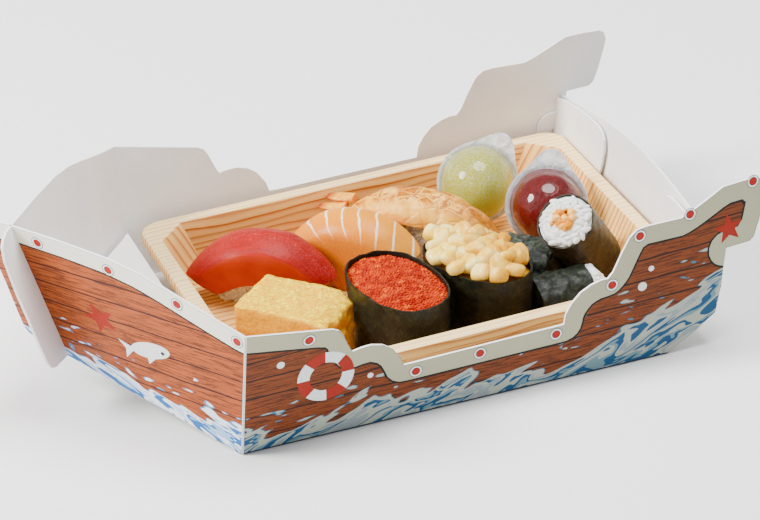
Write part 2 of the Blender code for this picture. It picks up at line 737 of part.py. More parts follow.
def cup(name, centre, jelly_mat, tab_turn):
    """A thin clear cup, the jelly in it and a film lid with a pull tab over its mouth."""
    clear = material("clear_plastic", (0.95, 0.97, 0.97), 0.1, alpha=0.35, transmission=0.8)
    film = material("lid_film", (0.85, 0.87, 0.88), 0.25)
    outer = dome(CUP_RADIUS, CUP_MOUTH, CUP_LENGTH)[:-1]
    inner = dome(CUP_RADIUS - CUP_WALL, CUP_MOUTH - CUP_WALL, CUP_LENGTH - CUP_WALL)
    flange = [(CUP_MOUTH, 0.8), (FLANGE_RADIUS, 0.8), (FLANGE_RADIUS, 0.0)]
    shell = turned("cup", outer + flange + inner[::-1], 22)
    finish(aim(shell, centre, CUP_AXIS), name + "_cup", clear)
    fill = [(max(0.0, r - GAP), d) for r, d in inner]
    fill[0] = (0.0, inner[0][1] - GAP)
    fill[-1] = (fill[-1][0], GAP)
    jelly = turned("jelly", fill + [(0.0, GAP)], 22)
    finish(aim(jelly, centre, CUP_AXIS), name + "_jelly", jelly_mat)
    rim = []
    for k in range(40):
        a = 2 * math.pi * k / 40
        r = FLANGE_RADIUS + 0.3 + 6.5 * max(0.0, math.cos(a - tab_turn)) ** 14
        rim.append((r * math.cos(a), -r * math.sin(a)))
    lid = sheet("lid", rim, 0.55, Matrix.Translation((0.0, 0.0, -0.625 * MM)))
    finish(aim(lid, centre, CUP_AXIS), name + "_lid", film)


def build_cups():
    green = material("green_jelly", (0.62, 0.72, 0.2), 0.15)
    red = material("red_jelly", (0.5, 0.03, 0.03), 0.15)
    cup("green", GREEN_CUP, green, math.radians(125.0))
    cup("red", RED_CUP, red, math.radians(100.0))


def gather():
    """Puts the pieces in one collection, under an empty that carries them to the origin."""
    group = bpy.data.collections.new("takeaway_sushi_tray")
    bpy.context.scene.collection.children.link(group)
    holder = bpy.data.objects.new("tray_set", None)
    holder.location = (-SHIFT_X * MM, 0.0, 0.0)
    group.objects.link(holder)
    for obj in list(bpy.context.scene.collection.objects):
        bpy.context.scene.collection.objects.unlink(obj)
        group.objects.link(obj)
        obj.parent = holder


def main():
    clear_scene()
    build_carton()
    build_deck()
    build_tray()
    build_tuna()
    build_salmon()
    build_shrimp()
    build_tamago()
    build_roe()
    build_corn()
    build_rolls()
    build_cups()
    gather()


main()
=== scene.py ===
"""Looks of the takeaway sushi tray: card boat box, wood-grain tray, sushi and jelly cups.

Lengths in the functions are millimetres from the middle of the tray; place() turns them into the
model's own frame in metres.
"""

import math
import random

import bmesh
import bpy
from bpy.props import FloatProperty, FloatVectorProperty, IntProperty, PointerProperty
from mathutils import Matrix, Vector, noise


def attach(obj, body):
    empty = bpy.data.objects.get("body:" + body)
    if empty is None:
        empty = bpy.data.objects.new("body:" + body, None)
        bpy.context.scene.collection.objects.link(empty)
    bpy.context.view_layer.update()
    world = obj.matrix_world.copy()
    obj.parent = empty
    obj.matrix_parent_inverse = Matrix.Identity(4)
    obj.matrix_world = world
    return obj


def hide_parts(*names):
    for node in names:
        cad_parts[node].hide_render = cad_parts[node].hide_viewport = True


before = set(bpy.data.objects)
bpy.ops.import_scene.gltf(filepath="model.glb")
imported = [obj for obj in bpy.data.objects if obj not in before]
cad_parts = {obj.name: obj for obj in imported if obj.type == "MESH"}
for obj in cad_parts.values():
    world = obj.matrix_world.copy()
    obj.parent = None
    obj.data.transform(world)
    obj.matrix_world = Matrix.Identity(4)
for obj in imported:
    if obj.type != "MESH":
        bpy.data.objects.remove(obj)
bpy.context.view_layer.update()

bl_info = {
    "name": "Takeaway sushi tray",
    "version": (1, 0, 0),
    "blender": (4, 5, 0),
    "location": "View3D > Sidebar > Sushi tray",
    "description": "Dresses the sushi tray and its boat box piece by piece",
    "category": "Object",
}

MM = 0.001
WELD = 0.00001
SHIFT_X = 24.15
WALL_HALF = 75.74
WALL_SPREAD = 0.0295
WALL_LEAN = 0.0792
WALL_TWIST = -0.00129
CARD = 1.0
BOW_X = -99.4
BOW_RAKE = 0.038
END_X = 96.2
END_LEAN = 0.14
RIM_Z = 26.6
FLOOR_Z = 3.2
WING_WIDTH = 85.0
REST_Z = 3.5
BAND_TOP = 35.0
GOLDEN_ANGLE = 2.39996
TUNA = {
    "centre": (-53.9, 32.2), "angle": -31.0, "bend": -32.0, "length": 63.5, "half": 12.6,
    "top": 32.2, "left": 14.5, "right": 15.0, "taper_left": 0.44, "taper_right": 0.3,
}
SALMON = {
    "centre": (-13.9, 27.9), "angle": -45.0, "bend": 0.0, "length": 56.0,
    "top": 33.8, "left": 20.0, "right": 19.0, "taper_left": 0.06, "taper_right": 0.06,
}
SHRIMP = {
    "centre": (14.9, 30.4), "angle": -46.0, "bend": 0.0, "length": 73.0, "half": 10.9,
    "top": 35.2, "left": 20.0, "right": 17.5, "taper_left": 0.42, "taper_right": 0.5,
}
OMELETTE = {"centre": (-57.3, -20.4), "angle": -47.5, "length": 41.0, "width": 27.6, "top": 29.6}
ROE = {"centre": (-19.2, -34.0), "angle": -79.0, "a": 26.8, "b": 17.0}
CORN = {"centre": (15.9, -31.6), "angle": -66.0, "a": 25.6, "b": 15.8}
TOP_ROLL = {"start": (54.0, -32.3, 42.2), "axis": (0.49, 0.40, -0.7745), "length": 36.5}
BACK_ROLL = {"start": (37.0, -7.5, 15.7), "axis": (0.67, -0.742, 0.0), "length": 18.5}
FRONT_ROLL = {"start": (37.5, -46.2, 15.7), "axis": (1.0, 0.0, 0.0), "length": 22.5}
ROLL_RADIUS = 12.2
FILLING_RADIUS = 4.9
CUP_AXIS = (-0.30, -0.88, 0.36)
CUPS = {
    "green": {"centre": (49.6, 51.0, 20.9), "tab": 125.0},
    "red": {"centre": (67.7, 19.6, 20.9), "tab": 100.0},
}
CAMERA_AT = (-372.39, -1044.85, 650.08)
CAMERA_DEGREES = {"azimuth": -18.9348, "elevation": 29.4835, "roll": -3.9377}
FOCAL_PIXELS = 3144.95
IMAGE_WIDTH = 760.0
SENSOR_WIDTH = 36.0


def place(x, y, z):
    return Vector(((x + SHIFT_X) * MM, y * MM, z * MM))


def wave(point, scale, seed):
    """Smooth noise from -1 to 1 at a point in mm."""
    return noise.noise(Vector(point) / scale + Vector((seed, seed * 1.7, -seed)))


# settings

class BoxSettings(bpy.types.PropertyGroup):
    band_depth: FloatProperty(
        name="Band depth", description="Depth of the cream band in mm", default=7.6, min=1.0, unit="NONE")
    rivet_size: FloatProperty(
        name="Rivet size", description="Diameter of a printed rivet in mm", default=5.4, min=1.0, unit="NONE")
    plank_colour: FloatVectorProperty(
        name="Planks", description="Printed hull planks", subtype="COLOR", size=3, default=(0.37, 0.078, 0.016))
    band_colour: FloatVectorProperty(
        name="Band", description="Cream band under the edge", subtype="COLOR", size=3, default=(0.88, 0.86, 0.73))
    card_colour: FloatVectorProperty(
        name="Card", description="Bare card", subtype="COLOR", size=3, default=(0.95, 0.935, 0.92))


class TraySettings(bpy.types.PropertyGroup):
    line_gap: FloatProperty(name="Grain gap", description="Distance between grain lines in mm", default=3.1, min=0.5)
    pale: FloatVectorProperty(
        name="Pale wood", description="Colour between the lines", subtype="COLOR", size=3, default=(0.95, 0.58, 0.18))
    dark: FloatVectorProperty(
        name="Grain line", description="Colour of the lines", subtype="COLOR", size=3, default=(0.50, 0.115, 0.002))


class FoodSettings(bpy.types.PropertyGroup):
    rice_gap: FloatProperty(name="Rice gap", description="Distance between rice grains in mm", default=2.1, min=0.8)
    roe_gap: FloatProperty(name="Roe gap", description="Distance between roe grains in mm", default=0.95, min=0.5)
    roe_size: FloatProperty(name="Roe size", description="Diameter of a roe grain in mm", default=1.25, min=0.5)
    seed: IntProperty(name="Seed", description="Seed of the scattered grains", default=4, min=0)


class CupSettings(bpy.types.PropertyGroup):
    green: FloatVectorProperty(
        name="Green jelly", description="Colour of the green jelly", subtype="COLOR", size=3,
        default=(0.66, 0.62, 0.03))
    red: FloatVectorProperty(
        name="Red jelly", description="Colour of the red jelly", subtype="COLOR", size=3,
        default=(0.19, 0.003, 0.001))


class StageSettings(bpy.types.PropertyGroup):
    key: FloatProperty(name="Key light", description="Power of the window light", default=46.0, unit="POWER")
    sky: FloatProperty(name="Sky", description="Strength of the even light", default=0.5)


# mesh building

class Builder:
    """Collects patches with their corner UVs and turns them into one mesh."""

    def __init__(self):
        self.verts = []
        self.faces = []
        self.uvs = []

    def patch(self, point, count_u, count_v, uv=None):
        """A grid of point(u, v), u and v from 0 to 1."""
        base = len(self.verts)
        marks = []
        for i in range(count_u + 1):
            for j in range(count_v + 1):
                u, v = i / count_u, j / count_v
                self.verts.append(point(u, v))
                marks.append(uv(u, v) if uv else (u, v))
        for i in range(count_u):
            for j in range(count_v):
                a = i * (count_v + 1) + j
                corners = (a, a + count_v + 1, a + count_v + 2, a + 1)
                self.faces.append([base + c for c in corners])
                self.uvs.extend(marks[c] for c in corners)

    def build(self, name, material, slot=None, replaces=()):
        mesh = bpy.data.meshes.new(name)
        mesh.from_pydata([tuple(v) for v in self.verts], [], self.faces)
        layer = mesh.uv_layers.new(name="UVMap")
        for loop, (u, v) in zip(layer.data, self.uvs):
            loop.uv = (u, v)
        bm = bmesh.new()
        bm.from_mesh(mesh)
        bmesh.ops.remove_doubles(bm, verts=bm.verts[:], dist=WELD)
        bmesh.ops.dissolve_degenerate(bm, dist=0.0000001, edges=bm.edges[:])
        bmesh.ops.recalc_face_normals(bm, faces=bm.faces[:])
        bm.to_mesh(mesh)
        bm.free()
        return show(name, mesh, material, replaces)


def loose_mesh(builder, name, material):
    """The builder's mesh on its own, to be joined to another."""
    obj = builder.build(name, material)
    mesh = obj.data.copy()
    bpy.data.objects.remove(obj, do_unlink=True)
    return mesh


def outward(mesh):
    """Turns the faces of a closed mesh outwards."""
    bm = bmesh.new()
    bm.from_mesh(mesh)
    bmesh.ops.recalc_face_normals(bm, faces=bm.faces[:])
    bm.to_mesh(mesh)
    bm.free()
    return mesh


def show(name, mesh, material, replaces=(), smooth=40.0):
    """Makes a mesh a piece of the tray: shaded, dressed and riding on the body."""
    mesh.name = name
    obj = bpy.data.objects.new(name, mesh)
    bpy.context.scene.collection.objects.link(obj)
    if mesh.materials:
        mesh.materials.clear()
    mesh.materials.append(material)
    mesh.shade_smooth()
    mesh.set_sharp_from_angle(angle=math.radians(smooth))
    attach(obj, "root")
    if replaces:
        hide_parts(*replaces)
    return obj


def baked(obj):
    """The object's evaluated mesh, after which the object is removed."""
    bpy.context.view_layer.update()
    graph = bpy.context.evaluated_depsgraph_get()
    mesh = bpy.data.meshes.new_from_object(obj.evaluated_get(graph))
    old = obj.data
    bpy.data.objects.remove(obj, do_unlink=True)
    if old.users == 0:
        bpy.data.meshes.remove(old)
    return mesh


def helper(name, mesh):
    """An object that only helps to make a piece, or stands outside the model."""
    obj = bpy.data.objects.new(name, mesh)
    bpy.context.scene.collection.objects.link(obj)
    return obj


def turned_point(start, axis):
    """Returns a function that puts (radius, angle, height along the axis) in space."""
    axis = Vector(axis).normalized()
    side = axis.cross(Vector((0.0, 0.0, 1.0))).normalized()
    up = side.cross(axis)
    start = Vector(start)

    def point(radius, angle, along):
        p = start + axis * along + side * (radius * math.cos(angle)) + up * (radius * math.sin(angle))
        return place(*p)
    return point


# materials

class Finish:
    """A material being built: node() adds a node, and sockets or values go to its inputs."""

    def __init__(self, name):
        self.mat = bpy.data.materials.new(name)
        self.mat.use_nodes = True
        self.tree = self.mat.node_tree
        self.shader = self.tree.nodes["Principled BSDF"]

    def node(self, kind, inputs=None, **props):
        made = self.tree.nodes.new("ShaderNode" + kind)
        for key, value in props.items():
            setattr(made, key, value)
        for key, value in (inputs or {}).items():
            self.put(made.inputs[key], value)
        return made

    def put(self, socket, value):
        if isinstance(value, bpy.types.NodeSocket):
            self.tree.links.new(value, socket)
        elif socket.type == "RGBA":
            socket.default_value = (*tuple(value)[:3], 1.0)
        else:
            socket.default_value = value

    def place(self, scale=(1.0, 1.0, 1.0), turn=(0.0, 0.0, 0.0), shift=(0.0, 0.0, 0.0)):
        coords = self.node("TexCoord").outputs["Object"]
        inputs = {"Vector": coords, "Scale": scale, "Rotation": turn, "Location": shift}
        return self.node("Mapping", inputs).outputs[0]

    def uv(self):
        return self.node("UVMap", uv_map="UVMap").outputs[0]

    def split(self, vector):
        return self.node("SeparateXYZ", {0: vector}).outputs

    def join(self, x, y=0.0, z=0.0):
        return self.node("CombineXYZ", {0: x, 1: y, 2: z}).outputs[0]

    def noise(self, vector, scale, detail=3.0, rough=0.5, distort=0.0):
        inputs = {"Vector": vector, "Scale": scale, "Detail": detail, "Roughness": rough, "Distortion": distort}
        return self.node("TexNoise", inputs).outputs[0]

    def cells(self, vector, scale, feature="F1", output=0, jitter=1.0):
        inputs = {"Vector": vector, "Scale": scale, "Randomness": jitter}
        return self.node("TexVoronoi", inputs, feature=feature).outputs[output]

    def math(self, how, a, b=0.0):
        return self.node("Math", {0: a, 1: b}, operation=how).outputs[0]

    def ramp(self, value, stops, sharp=False):
        made = self.node("ValToRGB", {0: value})
        made.color_ramp.interpolation = "CONSTANT" if sharp else "LINEAR"
        elements = made.color_ramp.elements
        while len(elements) < len(stops):
            elements.new(0.5)
        for element, (at, colour) in zip(elements, stops):
            element.position = at
            colour = (colour,) * 3 if isinstance(colour, float) else colour
            element.color = (*colour, 1.0)
        return made.outputs[0]

    def span(self, value, low, high, out_low=0.0, out_high=1.0):
        inputs = {"Value": value, "From Min": low, "From Max": high, "To Min": out_low, "To Max": out_high}
        return self.node("MapRange", inputs, clamp=True).outputs[0]

    def mix(self, factor, a, b, how="MIX"):
        made = self.node("Mix", data_type="RGBA", blend_type=how, clamp_factor=True)
        self.put(made.inputs[0], factor)
        self.put(made.inputs[6], a)
        self.put(made.inputs[7], b)
        return made.outputs[2]

    def bump(self, height, depth, strength):
        """A bump of so many mm."""
        return self.node("Bump", {"Height": height, "Distance": depth * MM, "Strength": strength}).outputs[0]

    def finish(self, colour, roughness=0.5, normal=None, **more):
        self.put(self.shader.inputs["Base Color"], colour)
        self.put(self.shader.inputs["Roughness"], roughness)
        if normal is not None:
            self.put(self.shader.inputs["Normal"], normal)
        more.setdefault("specular_ior_level", 0.16)
        for key, value in more.items():
            self.put(self.shader.inputs[key.replace("_", " ").title().replace("Ior", "IOR")], value)
        return self.mat


def flesh(weight, *radius):
    """Shader values for light that goes a little way into food or jelly."""
    return {"subsurface_weight": weight, "subsurface_radius": radius, "subsurface_scale": 1.0}


def lighter(colour, times):
    return tuple(min(1.0, c * times) for c in colour)


def darker(colour, times):
    return tuple(c * times for c in colour)


def card_material(name, colour):
    f = Finish(name)
    at = f.place()
    blotch = f.noise(at, 28.0, 4.0, 0.6)
    fibre = f.noise(f.place((60.0, 60.0, 180.0)), 14.0, 3.0, 0.7)
    tint = f.mix(f.span(blotch, 0.35, 0.65), colour, darker(colour, 0.93))
    tint = f.mix(f.math("MULTIPLY", f.span(fibre, 0.45, 0.7), 0.25), tint, lighter(colour, 1.05))
    return f.finish(tint, f.span(blotch, 0.3, 0.7, 0.62, 0.74), f.bump(fibre, 0.04, 0.4), specular_ior_level=0.3)


def print_material(settings):
    """Hull planks, a cream band under the edge and banded water, all from the sheet's own measures."""
    f = Finish("hull_print")
    along, high, _ = f.split(f.uv())
    edge = f.node("Attribute", attribute_name="from_edge").outputs["Fac"]
    warp = f.noise(f.join(f.math("MULTIPLY", along, 0.02), f.math("MULTIPLY", high, 0.08)), 1.0, 3.0)
    level = f.math("ADD", high, f.math("MULTIPLY", warp, 3.0))
    row = f.math("FRACT", f.math("DIVIDE", level, 9.2))
    seam = f.math("LESS_THAN", row, 0.075)
    grain = f.noise(f.join(f.math("MULTIPLY", along, 0.09), f.math("MULTIPLY", level, 1.5)), 1.0, 4.0, 0.7, 0.6)
    stroke = f.math("MULTIPLY", f.math("GREATER_THAN", grain, 0.53), 0.8)
    plank = settings.plank_colour
    colour = f.mix(f.span(grain, 0.3, 0.6), lighter(plank, 1.25), darker(plank, 0.85))
    colour = f.mix(stroke, colour, darker(plank, 0.28))
    colour = f.mix(seam, colour, (0.035, 0.012, 0.01))
    # water, climbing towards both ends of the hull, in slanting strokes
    run = f.math("ABSOLUTE", f.math("ADD", along, -BOW_X))
    wing = f.math("LESS_THAN", along, BOW_X)
    base = f.math("ADD", f.span(along, 40.0, 98.0, 9.0, 27.0), f.span(along, -100.0, -180.0, 1.0, 14.0))
    slant_a = f.math("ADD", f.math("MULTIPLY", run, 0.93), f.math("MULTIPLY", high, 0.36))
    slant_b = f.math("SUBTRACT", f.math("MULTIPLY", high, 0.93), f.math("MULTIPLY", run, 0.36))
    slow = f.join(f.math("MULTIPLY", slant_a, 0.028), f.math("MULTIPLY", slant_b, 0.12), wing)
    push = f.noise(slow, 1.0, 2.0, 0.5, 0.4)
    swing = f.math("MULTIPLY", f.math("SUBTRACT", push, 0.5), 34.0)
    depth = f.math("ADD", f.math("SUBTRACT", base, high), swing)
    quick = f.join(f.math("MULTIPLY", slant_a, 0.032), f.math("MULTIPLY", slant_b, 0.14), 4.0)
    curl = f.noise(quick, 1.0, 2.0, 0.5, 0.7)
    white, pale = (0.80, 0.86, 0.92), (0.30, 0.52, 0.78)
    mid, lilac = (0.02, 0.15, 0.46), (0.52, 0.63, 0.86)
    stops = [
        (0.0, white), (0.36, lilac), (0.42, white), (0.47, mid), (0.52, pale), (0.57, white), (0.62, mid), (0.68, pale),
    ]
    water = f.ramp(curl, stops, sharp=True)
    water = f.mix(f.math("LESS_THAN", depth, 1.6), water, white)
    caps = f.noise(f.join(f.math("MULTIPLY", run, 0.11), f.math("MULTIPLY", high, 0.42), 9.0), 1.0, 1.0, 0.5, 0.2)
    near = f.math("MULTIPLY", f.math("GREATER_THAN", depth, -15.0), f.math("LESS_THAN", depth, -3.0))
    low_cap = f.math("MULTIPLY", near, f.math("GREATER_THAN", caps, 0.655))
    cap = f.math("MULTIPLY", near, f.math("GREATER_THAN", caps, 0.68))
    colour = f.mix(low_cap, colour, (0.04, 0.36, 0.78))
    colour = f.mix(cap, colour, white)
    colour = f.mix(f.math("GREATER_THAN", depth, -0.35), colour, (0.10, 0.25, 0.50))
    colour = f.mix(f.math("GREATER_THAN", depth, 0.0), colour, water)
    # band under the edge
    band = settings.band_depth
    colour = f.mix(f.math("LESS_THAN", edge, band + 0.8), colour, (0.012, 0.012, 0.012))
    colour = f.mix(f.math("LESS_THAN", edge, band), colour, settings.band_colour)
    colour = f.mix(f.math("LESS_THAN", edge, 0.35), colour, (0.55, 0.56, 0.56))
    colour = f.mix(f.math("LESS_THAN", high, 0.7), colour, (0.03, 0.06, 0.16))
    # painted shade: the side walls are darkened against the wings, for the shade on walls that face down and away from
    # the light
    colour = f.mix(f.math("GREATER_THAN", along, BOW_X), colour, (0.46, 0.47, 0.37), "MULTIPLY")
    fibre = f.noise(f.place((60.0, 60.0, 180.0)), 14.0, 3.0, 0.7)
    return f.finish(colour, f.span(fibre, 0.3, 0.7, 0.42, 0.55), f.bump(fibre, 0.03, 0.3))


def ink_material(name, colour):
    f = Finish(name)
    fine = f.noise(f.place(), 900.0, 2.0)
    tint = f.mix(f.span(fine, 0.35, 0.65), colour, darker(colour, 0.86))
    return f.finish(tint, f.span(fine, 0.3, 0.7, 0.42, 0.52))


def rivet_material():
    f = Finish("rivet_print")
    out = f.node("Attribute", attribute_name="from_centre").outputs["Fac"]
    fine = f.noise(f.place(), 700.0, 2.0)
    red = f.mix(f.span(fine, 0.3, 0.7), (0.44, 0.010, 0.004), (0.32, 0.007, 0.003))
    colour = f.mix(f.math("GREATER_THAN", out, 0.56), red, (0.02, 0.02, 0.03))
    colour = f.mix(f.math("GREATER_THAN", out, 0.66), colour, (0.9, 0.9, 0.86))
    colour = f.mix(f.math("GREATER_THAN", out, 0.9), colour, (0.05, 0.08, 0.12))
    return f.finish(colour, 0.45)


def wood_material(settings):
    """Printed wood film: lines along the tray, pale between, each fading to one side."""
    f = Finish("tray_wood")
    along, across, _ = f.split(f.uv())
    sway = f.noise(f.join(f.math("MULTIPLY", along, 0.012), f.math("MULTIPLY", across, 0.05)), 1.0, 2.0)
    fine = f.noise(f.join(f.math("MULTIPLY", along, 0.05), f.math("MULTIPLY", across, 0.3)), 1.0, 2.0)
    q = f.math("ADD", across, f.math("MULTIPLY", sway, 9.0))
    q = f.math("ADD", q, f.math("MULTIPLY", fine, 0.9))
    row = f.math("FRACT", f.math("DIVIDE", q, settings.line_gap))
    number = f.math("FLOOR", f.math("DIVIDE", q, settings.line_gap))
    tone = f.noise(f.join(number, 0.0), 0.83, 0.0)
    line = f.ramp(row, [(0.0, 0.1), (0.4, 0.0), (0.66, 0.4), (0.84, 1.0), (0.96, 0.9), (1.0, 0.1)])
    line = f.math("MULTIPLY", line, f.span(tone, 0.25, 0.7, 0.6, 1.0))
    colour = f.mix(line, settings.pale, settings.dark)
    pore = f.noise(f.join(f.math("MULTIPLY", along, 0.25), f.math("MULTIPLY", across, 4.0)), 1.0, 2.0)
    colour = f.mix(f.math("MULTIPLY", f.span(pore, 0.5, 0.75), 0.18), colour, darker(settings.dark, 0.8))
    pale = f.mix(0.45, colour, (0.98, 0.86, 0.52))
    rim = f.node("Attribute", attribute_name="rim").outputs["Fac"]
    colour = f.mix(rim, colour, pale)
    rough = f.span(line, 0.0, 1.0, 0.36, 0.5)
    return f.finish(colour, rough, f.bump(line, 0.05, 0.35), coat_weight=0.08, coat_roughness=0.25)


def tuna_material():
    f = Finish("tuna_flesh")
    along, across, _ = f.split(f.uv())
    at = f.place()
    soft = f.noise(at, 90.0, 3.0)
    streak = f.noise(f.join(f.math("MULTIPLY", along, 6.0), f.math("MULTIPLY", across, 40.0)), 1.0, 3.0, 0.6, 0.4)
    on_top = f.span(f.math("ADD", across, f.math("MULTIPLY", f.math("SUBTRACT", soft, 0.5), 0.05)), 0.235, 0.275)
    face = f.mix(f.span(soft, 0.3, 0.7), (0.46, 0.032, 0.0), (0.35, 0.016, 0.0))
    top = f.mix(f.span(streak, 0.35, 0.65), (0.36, 0.006, 0.002), (0.27, 0.005, 0.004))
    # painted highlight: pale pink glints speckled on the top of the slice, stronger towards its far side
    speck = f.noise(at, 1500.0, 2.0, 0.7)
    far = f.span(across, 0.34, 0.62)
    painted_glint = f.math("MULTIPLY", f.span(speck, 0.54, 0.7), f.span(far, 0.0, 1.0, 0.08, 0.45))
    top = f.mix(painted_glint, top, (0.75, 0.30, 0.30))
    colour = f.mix(on_top, face, top)
    grit = f.math("ADD", f.math("MULTIPLY", f.noise(at, 700.0, 3.0, 0.7), on_top), f.math("MULTIPLY", streak, 0.3))
    more = flesh(0.15, 0.004, 0.001, 0.0006)
    return f.finish(colour, f.span(on_top, 0.0, 1.0, 0.26, 0.42), f.bump(grit, 0.35, 0.6), **more)


def salmon_material():
    f = Finish("salmon_flesh")
    along, across, _ = f.split(f.uv())
    at = f.place()
    soft = f.noise(at, 80.0, 3.0)
    bow = f.math("MULTIPLY", f.math("POWER", f.math("ABSOLUTE", f.math("SUBTRACT", across, 0.72)), 1.6), 1.15)
    q = f.math("SUBTRACT", f.math("MULTIPLY", along, 7.2), f.math("MULTIPLY", bow, 3.4))
    q = f.math("ADD", q, f.math("MULTIPLY", f.math("SUBTRACT", soft, 0.5), 0.5))
    near = f.math("ABSOLUTE", f.math("SUBTRACT", f.math("FRACT", q), 0.5))
    line = f.span(near, 0.035, 0.085, 1.0, 0.0)
    fade = f.span(across, 0.2, 0.36)
    fan = f.noise(f.join(f.math("MULTIPLY", along, 30.0), f.math("MULTIPLY", across, 12.0)), 1.0, 2.0)
    base = f.mix(f.span(across, 0.2, 0.7), (0.66, 0.17, 0.0), (0.78, 0.32, 0.0))
    base = f.mix(f.math("MULTIPLY", f.span(soft, 0.3, 0.7), 0.5), base, (0.72, 0.23, 0.0))
    base = f.mix(f.math("MULTIPLY", f.span(along, 0.7, 1.0), 0.45), base, (0.88, 0.42, 0.04))
    strength = f.math("MULTIPLY", f.math("MULTIPLY", line, fade), f.span(fan, 0.3, 0.6, 0.55, 1.0))
    colour = f.mix(strength, base, (0.96, 0.86, 0.62))
    grit = f.noise(at, 900.0, 3.0, 0.7)
    colour = f.mix(f.span(grit, 0.55, 0.8, 0.0, 0.3), colour, (0.95, 0.6, 0.2))
    height = f.math("ADD", f.math("MULTIPLY", grit, 0.5), f.math("MULTIPLY", line, 0.4))
    more = flesh(0.2, 0.004, 0.0015, 0.0006)
    return f.finish(colour, 0.33, f.bump(height, 0.25, 0.5), **more)


def shrimp_material():
    """Cooked shrimp: orange scale-like patches with pale rims and thin red cracks, a pale belly."""
    f = Finish("shrimp_flesh")
    along, across, _ = f.split(f.uv())
    at = f.place()
    soft = f.noise(at, 120.0, 3.0)
    sway = f.math("MULTIPLY", f.math("SUBTRACT", f.noise(at, 150.0, 3.0), 0.5), 0.9)
    ribs = f.join(f.math("ADD", f.math("MULTIPLY", along, 10.5), sway), f.math("MULTIPLY", across, 7.5))
    crack = f.cells(ribs, 1.0, "DISTANCE_TO_EDGE", jitter=0.8)
    tone = f.split(f.cells(ribs, 1.0, output="Color", jitter=0.8))[0]
    fleck = f.noise(at, 620.0, 4.0, 0.72)
    cream = f.mix(f.span(soft, 0.35, 0.65), (0.86, 0.39, 0.03), (0.94, 0.54, 0.11))
    orange = f.mix(f.span(fleck, 0.42, 0.58), (0.34, 0.08, 0.0), (0.55, 0.18, 0.0))
    edge = f.math("ADD", crack, f.math("MULTIPLY", f.math("SUBTRACT", fleck, 0.5), 0.22))
    inside = f.math("MULTIPLY", f.span(edge, 0.06, 0.12), f.span(tone, 0.1, 0.2))
    top = f.span(f.math("ADD", across, f.math("MULTIPLY", sway, 0.08)), 0.27, 0.36)
    colour = f.mix(f.math("MULTIPLY", inside, top), cream, orange)
    red = f.math("MULTIPLY", f.span(edge, 0.045, 0.01), f.span(soft, 0.36, 0.46))
    colour = f.mix(f.math("MULTIPLY", f.math("MULTIPLY", red, top), 0.8), colour, (0.30, 0.045, 0.0))
    end = f.span(along, 0.72, 0.88)
    stripe = f.math("ABSOLUTE", f.math("SINE", f.math("MULTIPLY", across, 42.0)))
    striped = f.mix(f.span(stripe, 0.25, 0.05), orange, (0.42, 0.05, 0.008))
    colour = f.mix(f.math("MULTIPLY", end, 0.85), colour, striped)
    fin = f.math("GREATER_THAN", along, 1.5)
    rim = f.span(f.math("ADD", across, f.math("MULTIPLY", f.math("SUBTRACT", fleck, 0.5), 0.5)), 0.62, 0.95)
    finned = f.mix(rim, f.mix(f.span(fleck, 0.4, 0.6), (0.82, 0.26, 0.01), (0.92, 0.48, 0.05)), (0.33, 0.03, 0.008))
    colour = f.mix(fin, colour, finned)
    height = f.math("ADD", f.math("MULTIPLY", fleck, 0.5), f.span(crack, 0.0, 0.12))
    more = flesh(0.12, 0.004, 0.002, 0.001)
    return f.finish(colour, 0.34, f.bump(height, 0.35, 0.7), **more)


def egg_material():
    f = Finish("egg")
    at = f.place()
    # the brown end is found along the block, whose turn is taken back
    turn = math.radians(-OMELETTE["angle"])
    along = f.split(f.place(turn=(0.0, 0.0, turn), scale=(1000.0, 1000.0, 1000.0)))[0]
    fibre = f.noise(at, 620.0, 4.0, 0.7, 0.4)
    hole = f.cells(at, 560.0)
    # painted highlight: faces that look up take a brighter yellow with pale yellow flecks on the raised fibres, while
    # the sides keep a deeper orange
    up = f.split(f.node("NewGeometry").outputs["Normal"])[2]
    top = f.span(up, 0.35, 0.7)
    yellow = f.mix(f.span(fibre, 0.35, 0.6), (0.72, 0.33, 0.0), (0.96, 0.60, 0.0))
    painted_highlight_yellow = f.mix(f.span(fibre, 0.55, 0.66), yellow, (1.0, 0.88, 0.04))
    side = f.mix(f.span(fibre, 0.35, 0.7), (0.78, 0.34, 0.0), (0.86, 0.44, 0.0))
    colour = f.mix(top, side, painted_highlight_yellow)
    x, y = OMELETTE["centre"]
    end = f.math("SUBTRACT", along, (x + SHIFT_X) * math.cos(turn) - y * math.sin(turn))
    brown = f.math("MULTIPLY", f.span(end, 15.5, 20.5), f.span(up, 0.75, 0.3))
    colour = f.mix(f.math("MULTIPLY", brown, 0.75), colour, (0.60, 0.27, 0.015))
    height = f.math("SUBTRACT", fibre, f.math("MULTIPLY", f.span(hole, 0.18, 0.0), 0.6))
    more = flesh(0.12, 0.003, 0.002, 0.0004)
    return f.finish(colour, 0.5, f.bump(height, 0.8, 1.2), **more)


